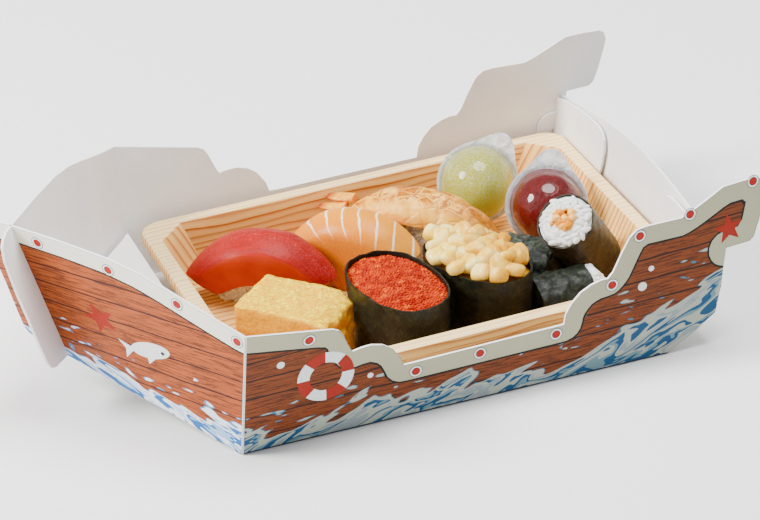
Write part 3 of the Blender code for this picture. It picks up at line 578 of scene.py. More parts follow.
def nori_material(name, warm_tone_and_glint=0.0, pale=0.0):
    f = Finish(name)
    at = f.place()
    weave = f.noise(at, 420.0, 5.0, 0.72, 0.6)
    crease = f.noise(at, 120.0, 4.0, 0.6, 1.2)
    glint = f.cells(at, 650.0, "DISTANCE_TO_EDGE")
    base = f.mix(f.span(crease, 0.35, 0.65), (0.003, 0.004, 0.003), (0.009, 0.012, 0.007))
    base = f.mix(f.math("MULTIPLY", f.span(weave, 0.52, 0.74), 0.7), base, (0.035, 0.045, 0.020))
    # painted highlight: gold-green glints on the raised weave along the cell edges; the warm setting makes them
    # stronger and also adds a brown tone
    painted_nori_glint = f.math("MULTIPLY", f.span(weave, 0.6, 0.78), f.span(glint, 0.05, 0.0))
    base = f.mix(f.math("MULTIPLY", painted_nori_glint, 0.25 + warm_tone_and_glint), base, (0.28, 0.22, 0.04))
    # painted sheen: grey-green light on the raised crumples of the sheet, as strong as pale asks
    if pale:
        painted_sheen = f.math("MULTIPLY", f.span(f.math("ADD", weave, f.math("MULTIPLY", crease, 0.5)), 0.68, 0.95), pale)
        base = f.mix(painted_sheen, base, (0.16, 0.20, 0.15))
    if warm_tone_and_glint:
        base = f.mix(f.math("MULTIPLY", f.span(crease, 0.3, 0.7), warm_tone_and_glint), base, (0.060, 0.036, 0.010))
    height = f.math("ADD", f.math("MULTIPLY", weave, 0.8), crease)
    rough = f.span(weave, 0.3, 0.7, 0.5, 0.34)
    return f.finish(base, rough, f.bump(height, 0.5, 0.75), specular_ior_level=0.22)


def rice_material(name="rice_grains"):
    f = Finish(name)
    at = f.place()
    colour = (0.86, 0.88, 0.84)
    cloud = f.noise(at, 260.0, 3.0)
    tint = f.mix(f.span(cloud, 0.35, 0.65), colour, darker(colour, 0.9))
    more = flesh(0.35, 0.002, 0.002, 0.0018)
    return f.finish(tint, f.span(cloud, 0.3, 0.7, 0.26, 0.4), f.bump(f.noise(at, 900.0, 2.0), 0.1, 0.4), **more)


def bead_material(name, deep, light, speck):
    """Small glossy beads, each with its own tone."""
    f = Finish(name)
    at = f.place()
    own = f.cells(at, 520.0, output="Color")
    tone = f.split(own)[0]
    colour = f.mix(f.span(tone, 0.2, 0.8), deep, light)
    colour = f.mix(f.math("GREATER_THAN", tone, 0.95), colour, speck)
    more = flesh(0.3, 0.0012, 0.0004, 0.0002)
    return f.finish(colour, 0.42, specular_ior_level=0.1, **more)


def corn_material():
    f = Finish("corn_kernel")
    at = f.place()
    own = f.node("Attribute", attribute_name="tone").outputs["Fac"]
    cloud = f.noise(at, 190.0, 3.0)
    cream = f.mix(f.span(cloud, 0.4, 0.65), (0.95, 0.62, 0.06), (1.0, 0.82, 0.32))
    yellow = f.mix(f.span(cloud, 0.35, 0.65), (0.62, 0.26, 0.0), (0.84, 0.43, 0.0))
    colour = f.mix(f.math("ADD", own, f.math("MULTIPLY", f.math("SUBTRACT", cloud, 0.5), 0.7)), yellow, cream)
    more = flesh(0.3, 0.003, 0.002, 0.0006)
    return f.finish(colour, 0.22, f.bump(f.noise(at, 500.0, 3.0), 0.15, 0.4), coat_weight=0.1, **more)


def bean_material():
    f = Finish("bean_filling")
    at = f.place()
    own = f.node("Attribute", attribute_name="tone").outputs["Fac"]
    cloud = f.noise(at, 480.0, 3.0)
    colour = f.mix(f.span(own, 0.3, 0.75), (0.72, 0.24, 0.005), (0.88, 0.50, 0.12))
    colour = f.mix(f.span(cloud, 0.5, 0.75, 0.0, 0.5), colour, (0.88, 0.42, 0.03))
    return f.finish(colour, 0.3, f.bump(cloud, 0.2, 0.5))


def jelly_material(name, colour, painted_sheen, painted_glint):
    """Jelly seen through the cup: even below, and towards the top a fine moulded grain speckled with painted glints."""
    f = Finish(name)
    at = f.place()
    high = f.split(f.uv())[1]
    facet = f.cells(at, 900.0)
    speck = f.noise(at, 1100.0, 3.0, 0.75)
    upper = f.span(high, 0.35, 0.8)
    # painted highlight: pale glints speckled over the upper part, in the colour and strength given
    amount = f.math("MULTIPLY", f.math("MULTIPLY", upper, f.span(speck, 0.45, 0.6)), painted_glint)
    tint = f.mix(f.span(high, 0.1, 0.9), lighter(colour, 1.15), darker(colour, 0.8))
    tint = f.mix(amount, tint, painted_sheen)
    more = flesh(0.25, 0.006, 0.004, 0.001)
    return f.finish(tint, 0.2, f.bump(facet, 0.2, 0.5), specular_ior_level=0.2, **more)


def clear_material():
    f = Finish("clear_plastic")
    fine = f.noise(f.place(), 400.0, 2.0)
    rough = f.span(fine, 0.4, 0.7, 0.03, 0.09)
    return f.finish((0.97, 0.99, 0.99), rough, transmission_weight=1.0, ior=1.35)


def film_material():
    f = Finish("lid_film")
    at = f.place()
    fold = f.noise(at, 150.0, 3.0, 0.6, 1.5)
    # painted shade: the film turns greyer in the low parts of its folds, following the noise of its bump
    tint = f.mix(f.span(fold, 0.35, 0.6), (0.74, 0.79, 0.82), (0.97, 0.98, 0.98))
    return f.finish(tint, f.span(fold, 0.3, 0.7, 0.16, 0.34), f.bump(fold, 0.9, 0.9), metallic=0.12)


# geometry nodes

def node_tree(name, inputs):
    """A geometry node tree with a mesh in and out and named number inputs."""
    tree = bpy.data.node_groups.new(name, "GeometryNodeTree")
    tree.interface.new_socket("Geometry", in_out="INPUT", socket_type="NodeSocketGeometry")
    tree.interface.new_socket("Geometry", in_out="OUTPUT", socket_type="NodeSocketGeometry")
    for label, kind in inputs:
        tree.interface.new_socket(label, in_out="INPUT", socket_type="NodeSocket" + kind)
    start = tree.nodes.new("NodeGroupInput")
    end = tree.nodes.new("NodeGroupOutput")
    return tree, start, end


def scatter_tree(name, material):
    """Grains spread over the surface given, on top of it, each turned and sized by the seed."""
    inputs = [("Gap", "Float"), ("Grain", "Vector"), ("Tilt", "Float"), ("Seed", "Int"), ("Shape", "Object")]
    tree, start, end = node_tree(name, inputs)
    nodes, link = tree.nodes, tree.links.new
    points = nodes.new("GeometryNodeDistributePointsOnFaces")
    points.distribute_method = "POISSON"
    points.inputs["Density Max"].default_value = 4000000.0
    link(start.outputs["Geometry"], points.inputs["Mesh"])
    link(start.outputs["Gap"], points.inputs["Distance Min"])
    link(start.outputs["Seed"], points.inputs["Seed"])
    shape = nodes.new("GeometryNodeObjectInfo")
    link(start.outputs["Shape"], shape.inputs["Object"])
    tilt = nodes.new("FunctionNodeRandomValue")
    tilt.data_type = "FLOAT_VECTOR"
    low = nodes.new("ShaderNodeVectorMath")
    low.operation = "SCALE"
    low.inputs[0].default_value = (-1.0, -1.0, -6.283)
    link(start.outputs["Tilt"], low.inputs["Scale"])
    high = nodes.new("ShaderNodeVectorMath")
    high.operation = "SCALE"
    high.inputs[0].default_value = (1.0, 1.0, 6.283)
    link(start.outputs["Tilt"], high.inputs["Scale"])
    link(low.outputs[0], tilt.inputs[0])
    link(high.outputs[0], tilt.inputs[1])
    link(start.outputs["Seed"], tilt.inputs["Seed"])
    turn = nodes.new("FunctionNodeRotateRotation")
    turn.rotation_space = "LOCAL"
    euler = nodes.new("FunctionNodeEulerToRotation")
    link(tilt.outputs[0], euler.inputs[0])
    link(points.outputs["Rotation"], turn.inputs[0])
    link(euler.outputs[0], turn.inputs[1])
    size = nodes.new("FunctionNodeRandomValue")
    size.data_type = "FLOAT"
    size.inputs[2].default_value = 0.82
    size.inputs[3].default_value = 1.12
    link(start.outputs["Seed"], size.inputs["Seed"])
    scaled = nodes.new("ShaderNodeVectorMath")
    scaled.operation = "SCALE"
    link(start.outputs["Grain"], scaled.inputs[0])
    link(size.outputs[1], scaled.inputs["Scale"])
    put = nodes.new("GeometryNodeInstanceOnPoints")
    link(points.outputs["Points"], put.inputs["Points"])
    link(shape.outputs["Geometry"], put.inputs["Instance"])
    link(turn.outputs[0], put.inputs["Rotation"])
    link(scaled.outputs[0], put.inputs["Scale"])
    real = nodes.new("GeometryNodeRealizeInstances")
    link(put.outputs[0], real.inputs[0])
    dress = nodes.new("GeometryNodeSetMaterial")
    dress.inputs["Material"].default_value = material
    link(real.outputs[0], dress.inputs[0])
    link(dress.outputs[0], end.inputs[0])
    return tree


def scatter(surface, tree, gap, grain, tilt, seed, shape):
    """Runs a scatter tree on a surface mesh and returns the grains as a plain mesh."""
    obj = helper("scatter_base", surface)
    mod = obj.modifiers.new("grains", "NODES")
    mod.node_group = tree
    values = {"Gap": gap * MM, "Grain": tuple(c * MM for c in grain), "Tilt": tilt, "Seed": seed, "Shape": shape}
    for item in tree.interface.items_tree:
        if item.in_out == "INPUT" and item.name in values:
            mod[item.identifier] = values[item.name]
    return baked(obj)


def grain_shape(name, around, rings, pinch=0.0):
    """A unit grain, one long axis along X, as a hidden guide."""
    bm = bmesh.new()
    bmesh.ops.create_uvsphere(bm, u_segments=around, v_segments=rings, radius=0.5)
    for vert in bm.verts:
        vert.co = Vector((vert.co.z, vert.co.y, -vert.co.x))
        vert.co.z += pinch * (vert.co.x ** 2)
    mesh = bpy.data.meshes.new(name)
    bm.to_mesh(mesh)
    bm.free()
    mesh.shade_smooth()
    return helper(name, mesh)


def merged(meshes):
    """Joins meshes into one."""
    bm = bmesh.new()
    for mesh in meshes:
        bm.from_mesh(mesh)
    out = bpy.data.meshes.new("merged")
    bm.to_mesh(out)
    bm.free()
    return out


# card box

def half_width(x, z):
    """Half the inner width of the box at a place along it and a height."""
    return WALL_HALF + WALL_SPREAD * x + (WALL_LEAN + WALL_TWIST * x) * z


def side_outline():
    low = [(BOW_X, 0.05), (75.5, 0.05), (86.4, 6.2), (97.0, 13.4), (99.9, 24.4), (101.2, 32.4)]
    tip = [
        (102.7, 40.4), (113.0, 40.8), (115.0, 42.5), (117.5, 49.0), (120.0, 58.5), (120.8, 62.0),
        (119.8, 65.6), (117.5, 66.9), (111.0, 67.2), (102.3, 66.9), (98.5, 65.0), (93.0, 62.3),
    ]
    stern_step = [(88.0, 60.0), (83.5, 58.4), (68.5, 58.9), (64.5, 58.4), (61.3, 56.0), (58.0, 50.5), (53.8, 42.6)]
    stern_lobe = [(51.5, 40.3), (48.5, 40.4), (44.5, 39.4), (40.0, 37.3), (36.0, 33.4), (33.4, 29.3), (32.4, 24.7)]
    bow_lobe = [(-34.3, 24.7), (-35.4, 28.8), (-38.8, 34.0), (-42.6, 36.8), (-47.3, 38.2), (-51.2, 38.1)]
    bow_step = [(-55.0, 37.4), (-56.6, 41.0), (-58.6, 46.5), (-60.2, 49.0), (-62.8, 50.4), (-97.2, 57.8)]
    return low, tip + stern_step + stern_lobe + bow_lobe + bow_step


WING_TOP = [
    (0.0, 57.8), (0.12, 61.4), (0.24, 65.5), (0.35, 69.5), (0.46, 73.2), (0.6, 76.2), (0.8, 78.0), (1.0, 79.0),
    (1.05, 79.0), (1.09, 78.0), (1.12, 76.0), (1.145, 71.0), (1.17, 57.0), (1.18, 46.0),
    (1.2, 33.0), (1.21, 25.0), (1.2, 22.0), (1.16, 20.0),
]
WING_LOW = [
    (1.0, 17.0), (0.8, 12.8), (0.6, 9.3), (0.46, 7.4), (0.35, 5.6), (0.24, 3.8), (0.12, 1.8), (0.0, 0.05),
]


def wing_place(side, t, z, depth):
    """A point of a bow wing: t is 0 at the fold and 1 at the prow."""
    fold = Vector((BOW_X + BOW_RAKE * z, side * half_width(BOW_X, z), z))
    prow = Vector((-141.2 - 0.2514 * z, 0.0, z))
    return fold.lerp(prow, t) + Vector((-0.845, side * 0.534, 0.0)) * depth


def segment_distance(p, a, b):
    ax, az = a
    dx, dz = b[0] - ax, b[1] - az
    t = max(0.0, min(1.0, ((p[0] - ax) * dx + (p[1] - az) * dz) / (dx * dx + dz * dz + 1e-9)))
    return math.hypot(p[0] - ax - t * dx, p[1] - az - t * dz)


def sheet_mesh(outline, to_space, edge, step):
    """A flat outline cut into a fine grid and laid on a face; uv and from_edge are in mm."""
    bm = bmesh.new()
    bm.faces.new([bm.verts.new((u, v, 0.0)) for u, v in outline])
    us = [v.co.x for v in bm.verts]
    vs = [v.co.y for v in bm.verts]
    for low, high, axis in ((min(us), max(us), (1, 0, 0)), (min(vs), max(vs), (0, 1, 0))):
        at = math.ceil(low / step) * step
        while at < high:
            geom = bm.verts[:] + bm.edges[:] + bm.faces[:]
            bmesh.ops.bisect_plane(bm, geom=geom, plane_co=Vector(axis) * at, plane_no=axis)
            at += step
    bmesh.ops.triangulate(bm, faces=bm.faces[:], quad_method="BEAUTY", ngon_method="BEAUTY")
    mesh = bpy.data.meshes.new("sheet")
    bm.to_mesh(mesh)
    bm.free()
    flat = [(v.co.x, v.co.y) for v in mesh.vertices]
    layer = mesh.uv_layers.new(name="UVMap")
    for loop in mesh.loops:
        layer.data[loop.index].uv = flat[loop.vertex_index]
    attr = mesh.attributes.new("from_edge", "FLOAT", "POINT")
    for i, p in enumerate(flat):
        attr.data[i].value = min(segment_distance(p, a, b) for a, b in zip(edge, edge[1:]))
    for vert, (u, v) in zip(mesh.vertices, flat):
        vert.co = to_space(u, v)
    return mesh


def face_outward(mesh, direction):
    """Turns an open sheet so that its faces look along direction."""
    bm = bmesh.new()
    bm.from_mesh(mesh)
    total = sum((f.normal * f.calc_area() for f in bm.faces), Vector())
    if total.dot(Vector(direction)) < 0:
        bmesh.ops.reverse_faces(bm, faces=bm.faces[:])
    bm.to_mesh(mesh)
    bm.free()
    return mesh


def wall_place(side, depth):
    return lambda x, z: place(x, side * (half_width(x, z) + depth), z)


def wing_sheet_place(side, depth):
    return lambda u, z: place(*wing_place(side, u / WING_WIDTH, z, depth))


def end_place(depth):
    return lambda y, z: place(END_X + END_LEAN * (z - 10.0) + depth, y, z)


def board(name, outline, where, direction, edge, bare, printed=None, step=3.0, flip_u=None):
    """A piece of card: where(depth) lays the outline in space, inner face at 0, outer face at CARD."""
    outer = sheet_mesh(outline, where(CARD), edge, step)
    inner = sheet_mesh(outline, where(0.0), edge, step)
    bm = bmesh.new()
    bm.from_mesh(outer)
    count = len(bm.verts)
    bm.from_mesh(inner)
    bm.verts.ensure_lookup_table()
    bm.faces.ensure_lookup_table()
    outer_faces = bm.faces[:len(outer.polygons)]
    inner_faces = bm.faces[len(outer.polygons):]
    total = sum((f.normal * f.calc_area() for f in outer_faces), Vector())
    flip = total.dot(Vector(direction)) < 0
    bmesh.ops.reverse_faces(bm, faces=outer_faces if flip else inner_faces)
    layer = bm.loops.layers.uv[0]
    for face in outer_faces:
        face.material_index = 1 if printed else 0
    rim = [(e.verts[0].index, e.verts[1].index) for e in bm.edges if e.is_boundary and e.verts[0].index < count]
    for i, j in rim:
        face = bm.faces.new([bm.verts[k] for k in (i, j, j + count, i + count)])
        for loop in face.loops:
            loop[layer].uv = (0.0, 0.0)
    bmesh.ops.recalc_face_normals(bm, faces=bm.faces[:])
    if flip_u is not None:
        for face in bm.faces:
            for loop in face.loops:
                loop[layer].uv = (flip_u - loop[layer].uv[0], loop[layer].uv[1])
    mesh = bpy.data.meshes.new(name)
    bm.to_mesh(mesh)
    bm.free()
    obj = show(name, mesh, bare, ["carton"], smooth=25.0)
    if printed:
        mesh.materials.append(printed)
    return obj


class SUSHI_OT_box(bpy.types.Operator):
    """Fold the card box: bare card inside, printed hull outside"""
    bl_idname = "sushi.box"
    bl_label = "Card box"

    def execute(self, context):
        settings = context.scene.sushi_box
        card = card_material("card_plain", settings.card_colour)
        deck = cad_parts["deck"]
        deck.data.materials.clear()
        deck.data.materials.append(card_material("card_deck", lighter(settings.card_colour, 1.12)))
        hull = print_material(settings)
        low, top = side_outline()
        for side, name in ((-1, "near"), (1, "far")):
            board("side_" + name, low + top, lambda d, k=side: wall_place(k, d), (0, side, 0), top, card, hull)
            outline = [(t * WING_WIDTH, z) for t, z in WING_TOP + WING_LOW]
            edge = [(t * WING_WIDTH, z) for t, z in WING_TOP[:10]]
            board("wing_" + name, outline, lambda d, k=side: wing_sheet_place(k, d), (-1, side, 0), edge, card, hull,
                  flip_u=BOW_X)
            flap = [(77.1, 37.9), (67.0, 40.4), (54.0, 42.3), (42.0, 43.2), (35.5, 43.3), (31.5, 42.2), (28.6, 39.5)]
            flap += [(27.4, 35.0), (28.6, 27.0), (30.6, 20.0), (31.5, 16.0), (78.0, 16.0)]
            flap = [(side * y, z) for y, z in flap]
            board("flap_" + name, flap, lambda d: end_place(d - 2.1), (1, 0, 0), flap, card, step=6.0)
        ys = [-77.2 + 154.4 * k / 24 for k in range(25)]
        top = [(y, 48.3 - 9.4 * (abs(y) / 75.5) ** 1.7) for y in ys[::-1]]
        foot = half_width(97.0, 13.0) + 0.4
        board("stern", [(-foot, 13.2), (foot, 13.2)] + top, end_place, (1, 0, 0), top, card, hull)
        tab = [(88.0, 24.0), (97.5, 24.0), (97.5, 32.0), (93.2, 31.8), (90.4, 30.4), (88.6, 27.5)]
        board("tab", tab, lambda d: wall_place(1, d - 1.4), (0, 1, 0), tab, card, step=6.0)
        self.bottom(card)
        return {"FINISHED"}

    def bottom(self, card):
        """The bottom panel, level and then rising to the stern."""
        profile = [(BOW_X + 0.3, 0.0), (75.5, 0.0), (86.4, 6.2), (97.0, 13.2)]
        upper = [(96.4, 14.1), (86.0, 7.2), (75.2, CARD), (BOW_X + 0.4, CARD)]
        builder = Builder()
        for k in (0, 1):
            builder.verts.extend(
                place(x, (2 * k - 1) * (half_width(x, z) + 0.6), z) for x, z in profile + upper)
        count = len(profile) * 2
        for i in range(count):
            j = (i + 1) % count
            builder.faces.append([i, j, count + j, count + i])
            builder.uvs.extend([(0.0, 0.0)] * 4)
        for quad in ((0, 1, 6, 7), (1, 2, 5, 6), (2, 3, 4, 5)):
            for k in (0, count):
                builder.faces.append([k + i for i in quad])
                builder.uvs.extend([(0.0, 0.0)] * 4)
        builder.build("bottom_panel", card, "card_plain", ["carton"])


NEAR_RIVETS = [
    (-72.4, 48.4), (-29.4, 20.5), (-2.9, 21.4), (29.0, 21.4), (53.1, 37.2), (65.5, 55.6), (87.4, 59.2), (115.4, 66.0),
]
WING_RIVETS = [(2.7, 54.7), (25.4, 63.8), (50.5, 70.7), (76.5, 74.1)]


def rivet_tree(material):
    """Printed rivets: a flat disc on each face of the mesh given, facing along that face's normal."""
    tree, start, end = node_tree("rivet_row", [("Diameter", "Float")])
    nodes, link = tree.nodes, tree.links.new
    disc = nodes.new("GeometryNodeMeshCircle")
    disc.fill_type = "TRIANGLE_FAN"
    disc.inputs["Vertices"].default_value = 28
    disc.inputs["Radius"].default_value = 1.0
    where = nodes.new("GeometryNodeInputPosition")
    length = nodes.new("ShaderNodeVectorMath")
    length.operation = "LENGTH"
    link(where.outputs[0], length.inputs[0])
    keep = nodes.new("GeometryNodeStoreNamedAttribute")
    keep.data_type = "FLOAT"
    keep.domain = "POINT"
    keep.inputs["Name"].default_value = "from_centre"
    link(disc.outputs["Mesh"], keep.inputs["Geometry"])
    link(length.outputs["Value"], keep.inputs["Value"])
    half = nodes.new("ShaderNodeMath")
    half.operation = "MULTIPLY"
    half.inputs[1].default_value = 0.5 * MM
    link(start.outputs["Diameter"], half.inputs[0])
    normal = nodes.new("GeometryNodeInputNormal")
    hold = nodes.new("GeometryNodeCaptureAttribute")
    hold.domain = "FACE"
    hold.capture_items.new("VECTOR", "Normal")
    link(start.outputs["Geometry"], hold.inputs["Geometry"])
    link(normal.outputs[0], hold.inputs["Normal"])
    spots = nodes.new("GeometryNodeMeshToPoints")
    spots.mode = "FACES"
    link(hold.outputs["Geometry"], spots.inputs["Mesh"])
    turn = nodes.new("FunctionNodeAlignRotationToVector")
    turn.axis = "Z"
    link(hold.outputs["Normal"], turn.inputs["Vector"])
    put = nodes.new("GeometryNodeInstanceOnPoints")
    link(spots.outputs["Points"], put.inputs["Points"])
    link(keep.outputs[0], put.inputs["Instance"])
    link(turn.outputs[0], put.inputs["Rotation"])
    link(half.outputs[0], put.inputs["Scale"])
    real = nodes.new("GeometryNodeRealizeInstances")
    link(put.outputs[0], real.inputs[0])
    dress = nodes.new("GeometryNodeSetMaterial")
    dress.inputs["Material"].default_value = material
    link(real.outputs[0], dress.inputs[0])
    link(dress.outputs[0], end.inputs[0])
    return tree


class SUSHI_OT_rivets(bpy.types.Operator):
    """Lay the printed rivets along the cream band"""
    bl_idname = "sushi.rivets"
    bl_label = "Printed rivets"

    def execute(self, context):
        mat = rivet_material()
        far_end = 80.0
        verts = []
        faces = []
        for side in (-1, 1):
            spots = [(wall_place(side, CARD + 0.1), x, z) for x, z in NEAR_RIVETS if side < 0 or x < far_end]
            spots += [(wing_sheet_place(side, CARD + 0.1), u, z) for u, z in WING_RIVETS]
            # a little triangle stands for each rivet and gives it its normal
            for to_space, u, z in spots:
                points = [to_space(u - 0.2, z - 0.2), to_space(u + 0.2, z - 0.2), to_space(u, z + 0.2)]
                normal = (points[1] - points[0]).cross(points[2] - points[0])
                if normal.y * side < 0:
                    points.reverse()
                faces.append(tuple(range(len(verts), len(verts) + 3)))
                verts.extend(points)
        mesh = bpy.data.meshes.new("rivet_points")
        mesh.from_pydata(verts, [], faces)
        tree = rivet_tree(mat)
        obj = helper("rivet_base", mesh)
        mod = obj.modifiers.new("rivets", "NODES")
        mod.node_group = tree
        for item in tree.interface.items_tree:
            if item.in_out == "INPUT" and item.name == "Diameter":
                mod[item.identifier] = context.scene.sushi_box.rivet_size
        show("rivet_print", baked(obj), mat)
        return {"FINISHED"}


def star(x, y, out, inner, turn):
    """Outline of a star with five arms."""
    return [(x + (inner if k % 2 else out) * math.cos(turn + math.pi * k / 5),
             y + (inner if k % 2 else out) * math.sin(turn + math.pi * k / 5)) for k in range(10)]


def oval(x, y, a, b, turn=0.0):
    count = 28
    out = []
    for k in range(count):
        t = 2.0 * math.pi * k / count
        p, q = a * math.cos(t), b * math.sin(t)
        out.append((x + p * math.cos(turn) - q * math.sin(turn), y + p * math.sin(turn) + q * math.cos(turn)))
    return out


def fish(x, y, size, turn):
    """Outlines of a plain fish: its tail, fin and body, and its eye."""
    cos, sin = math.cos(turn), math.sin(turn)
    tail = [(-0.8, 0.0), (-1.5, 0.5), (-1.3, 0.0), (-1.5, -0.45)]
    fin = [(-0.3, 0.3), (0.3, 0.3), (-0.35, 0.72)]
    parts = [
        [(x + size * (p * cos - q * sin), y + size * (p * sin + q * cos)) for p, q in part] for part in (tail, fin)]
    parts.append(oval(x, y, size, 0.42 * size, turn))
    eye_x = x + 0.62 * size * cos - 0.08 * size * sin
    eye_y = y + 0.62 * size * sin + 0.08 * size * cos
    return parts, oval(eye_x, eye_y, 0.09 * size, 0.09 * size)


class SUSHI_OT_motifs(bpy.types.Operator):
    """Print a few plain sea motifs on the near side"""
    bl_idname = "sushi.motifs"
    bl_label = "Sea motifs"

    def execute(self, context):
        # the lifebuoy is a ring of eight pieces, by turns red and white
        ring = [[(-66.0 + r * math.cos(t), 29.0 + r * math.sin(t)) for r, t in
                 [(11.5, (k + 0.2 * j) * math.pi / 4) for j in range(6)]
                 + [(6.6, (k + 1.0 - 0.2 * j) * math.pi / 4) for j in range(6)]] for k in range(8)]
        fish_parts, fish_eye = fish(40.0, 36.0, 9.0, 2.9)
        bubbles = [oval(x, z, r, r) for x, z, r in (
            (-84.0, 40.0, 1.6), (-48.0, 24.0, 1.2), (66.0, 33.0, 1.9), (70.0, 40.0, 1.2))]
        wall, wing = False, True
        inks = {
            "red": [(wall, o) for o in ring[::2] + [star(104.0, 48.5, 6.6, 2.8, 0.4)]]
            + [(wing, star(60.0, 44.0, 7.4, 3.1, 1.2))],
            "white": [(wall, o) for o in ring[1::2] + bubbles[:2]] + [(wing, o) for o in fish_parts]
            + [(wall, o) for o in bubbles[2:]],
            "dark": [(wing, fish_eye)],
        }
        colours = {
            "red": (0.32, 0.014, 0.003), "white": (0.82, 0.85, 0.86), "dark": (0.03, 0.034, 0.04),
        }
        lift = {"red": 0.06, "white": 0.12, "dark": 0.18}
        for ink, outlines in inks.items():
            verts, faces = [], []
            for on_wing, outline in outlines:
                count = len(outline)
                sheets = []
                for depth in (CARD + 0.02, CARD + lift[ink]):
                    spot = (wing_sheet_place if on_wing else wall_place)(-1, depth)
                    centre = (sum(p[0] for p in outline) / count, sum(p[1] for p in outline) / count)
                    sheets.append(len(verts))
                    verts.extend([spot(*centre)] + [spot(*p) for p in outline])
                low, high = sheets
                for k in range(count):
                    j = (k + 1) % count
                    faces.append((high, high + 1 + k, high + 1 + j))
                    faces.append((low, low + 1 + j, low + 1 + k))
                    faces.append((low + 1 + k, low + 1 + j, high + 1 + j, high + 1 + k))
            mesh = bpy.data.meshes.new("motif_" + ink)
            mesh.from_pydata(verts, [], faces)
            show("motif_" + ink, outward(mesh), ink_material("motif_ink_" + ink, colours[ink]))
        return {"FINISHED"}


# tray

def tray_ring(half_x, half_y, corner, round_corner, short=0.0, count=8):
    """Points of a rectangle whose corners are round (1) or cut straight (0)."""
    loop = []
    for sx, sy, start in ((1, 1, 0.0), (-1, 1, 90.0), (-1, -1, 180.0), (1, -1, 270.0)):
        first = Vector((math.cos(math.radians(start)), math.sin(math.radians(start))))
        last = Vector((-first.y, first.x))
        for k in range(count + 1):
            a = math.radians(start + 90.0 * k / count)
            point = Vector((math.cos(a), math.sin(a)))
            straight = first.lerp(last, 0.94 * k / count + 0.03)
            point = straight.lerp(point, round_corner)
            x = sx * (half_x - corner) + corner * point.x - (short if sx > 0 else 0.0)
            loop.append((x, sy * (half_y - corner) + corner * point.y))
    return loop


class SUSHI_OT_tray(bpy.types.Operator):
    """Make the tray with its wood-grain film"""
    bl_idname = "sushi.tray"
    bl_label = "Tray"

    def execute(self, context):
        hx, hy = 95.0, 71.5
        wx, wy = hx - 5.6, hy - 5.6
        rim_row, well_row, floor_row = 8, 12, 18
        rows = [
            (hx - 14.5, hy - 9.2, 12.0, 1.0, 1.35, 5.6), (hx - 12.9, hy - 8.0, 13.0, 1.0, 2.4, 4.4),
            (hx - 12.4, hy - 7.6, 13.0, 1.0, 3.5, 3.8), (hx - 3.9, hy - 3.9, 11.0, 1.0, RIM_Z - 2.3),
            (hx - 1.6, hy - 1.6, 8.0, 1.0, RIM_Z - 2.3), (hx - 1.3, hy - 1.3, 8.0, 1.0, RIM_Z - 4.4),
            (hx + 0.2, hy + 0.2, 9.0, 1.0, RIM_Z - 4.4), (hx + 0.1, hy + 0.1, 9.0, 1.0, RIM_Z - 1.3),
            (hx - 0.15, hy - 0.15, 9.0, 1.0, RIM_Z - 0.55), (hx - 0.7, hy - 0.7, 9.0, 1.0, RIM_Z - 0.1),
            (hx - 1.3, hy - 1.3, 9.0, 0.9, RIM_Z), (wx + 0.5, wy + 0.5, 12.0, 0.1, RIM_Z),
            (wx, wy, 12.0, 0.0, RIM_Z - 0.25), (wx - 0.4, wy - 0.4, 12.0, 0.0, RIM_Z - 1.0),
            (wx - 2.4, wy - 1.0, 12.0, 0.0, 20.4, 0.5), (wx - 5.0, wy - 1.7, 12.0, 0.0, 13.0, 1.4),
            (wx - 8.0, wy - 2.6, 11.5, 0.0, FLOOR_Z + 2.2, 2.3), (wx - 8.7, wy - 3.1, 11.3, 0.05, FLOOR_Z + 0.9, 2.4),
            (wx - 9.8, wy - 4.2, 11.0, 0.1, FLOOR_Z, 2.4), (wx - 30.0, wy - 24.0, 9.0, 0.1, FLOOR_Z),
        ]
        loops = [(tray_ring(*row[:4], *row[5:]), row[4]) for row in rows]
        count = len(loops[0][0])
        builder = Builder()
        verts = builder.verts
        for loop, z in loops:
            verts.extend(place(x, y, z) for x, y in loop)
        rims = []
        arc = [0.0]
        for a, b in zip(rows, rows[1:]):
            arc.append(arc[-1] + math.hypot(a[1] - b[1], a[4] - b[4]))

        def mark(k, i, flat):
            """UV in mm: seen from above on level parts, unrolled on the long walls."""
            x, y = loops[k][0][i]
            if flat:
                return (x, y)
            return (x, math.copysign(wy - 4.2 + abs(arc[k] - arc[floor_row]), y))

        for k in range(len(loops) - 1):
            for i in range(count):
                j = (i + 1) % count
                (xa, ya), (xb, yb) = loops[k][0][i], loops[k][0][j]
                flat = abs(xa - xb) < abs(ya - yb) * 1.3 or rim_row + 2 <= k < well_row or k >= floor_row
                builder.faces.append([k * count + i, k * count + j, (k + 1) * count + j, (k + 1) * count + i])
                for row, at in ((k, i), (k, j), (k + 1, j), (k + 1, i)):
                    builder.uvs.append(mark(row, at, flat))
                rims.append(1.0 if rim_row <= k < well_row else 0.0)
        for k in (0, len(loops) - 1):
            builder.faces.append([k * count + i for i in range(count)])
            builder.uvs.extend(mark(k, i, True) for i in range(count))
            rims.append(0.0)
        mesh = bpy.data.meshes.new("tray_film")
        mesh.from_pydata([tuple(v) for v in verts], [], builder.faces)
        layer = mesh.uv_layers.new(name="UVMap")
        for loop, uv in zip(layer.data, builder.uvs):
            loop.uv = uv
        attr = mesh.attributes.new("rim", "FLOAT", "FACE")
        for i, value in enumerate(rims):
            attr.data[i].value = value
        wood = wood_material(context.scene.sushi_tray)
        show("tray_film", outward(mesh), wood, ["tray"], smooth=30.0)
        return {"FINISHED"}


# slices

def spine_of(spec):
    """The height of a slice's back along its length."""
    half_length = 0.5 * spec["length"]

    def spine(s):
        u = s / half_length
        end = spec["left"] if u < 0 else spec["right"]
        return spec["top"] - (spec["top"] - end) * min(1.15, abs(u)) ** 2.4
    return spine


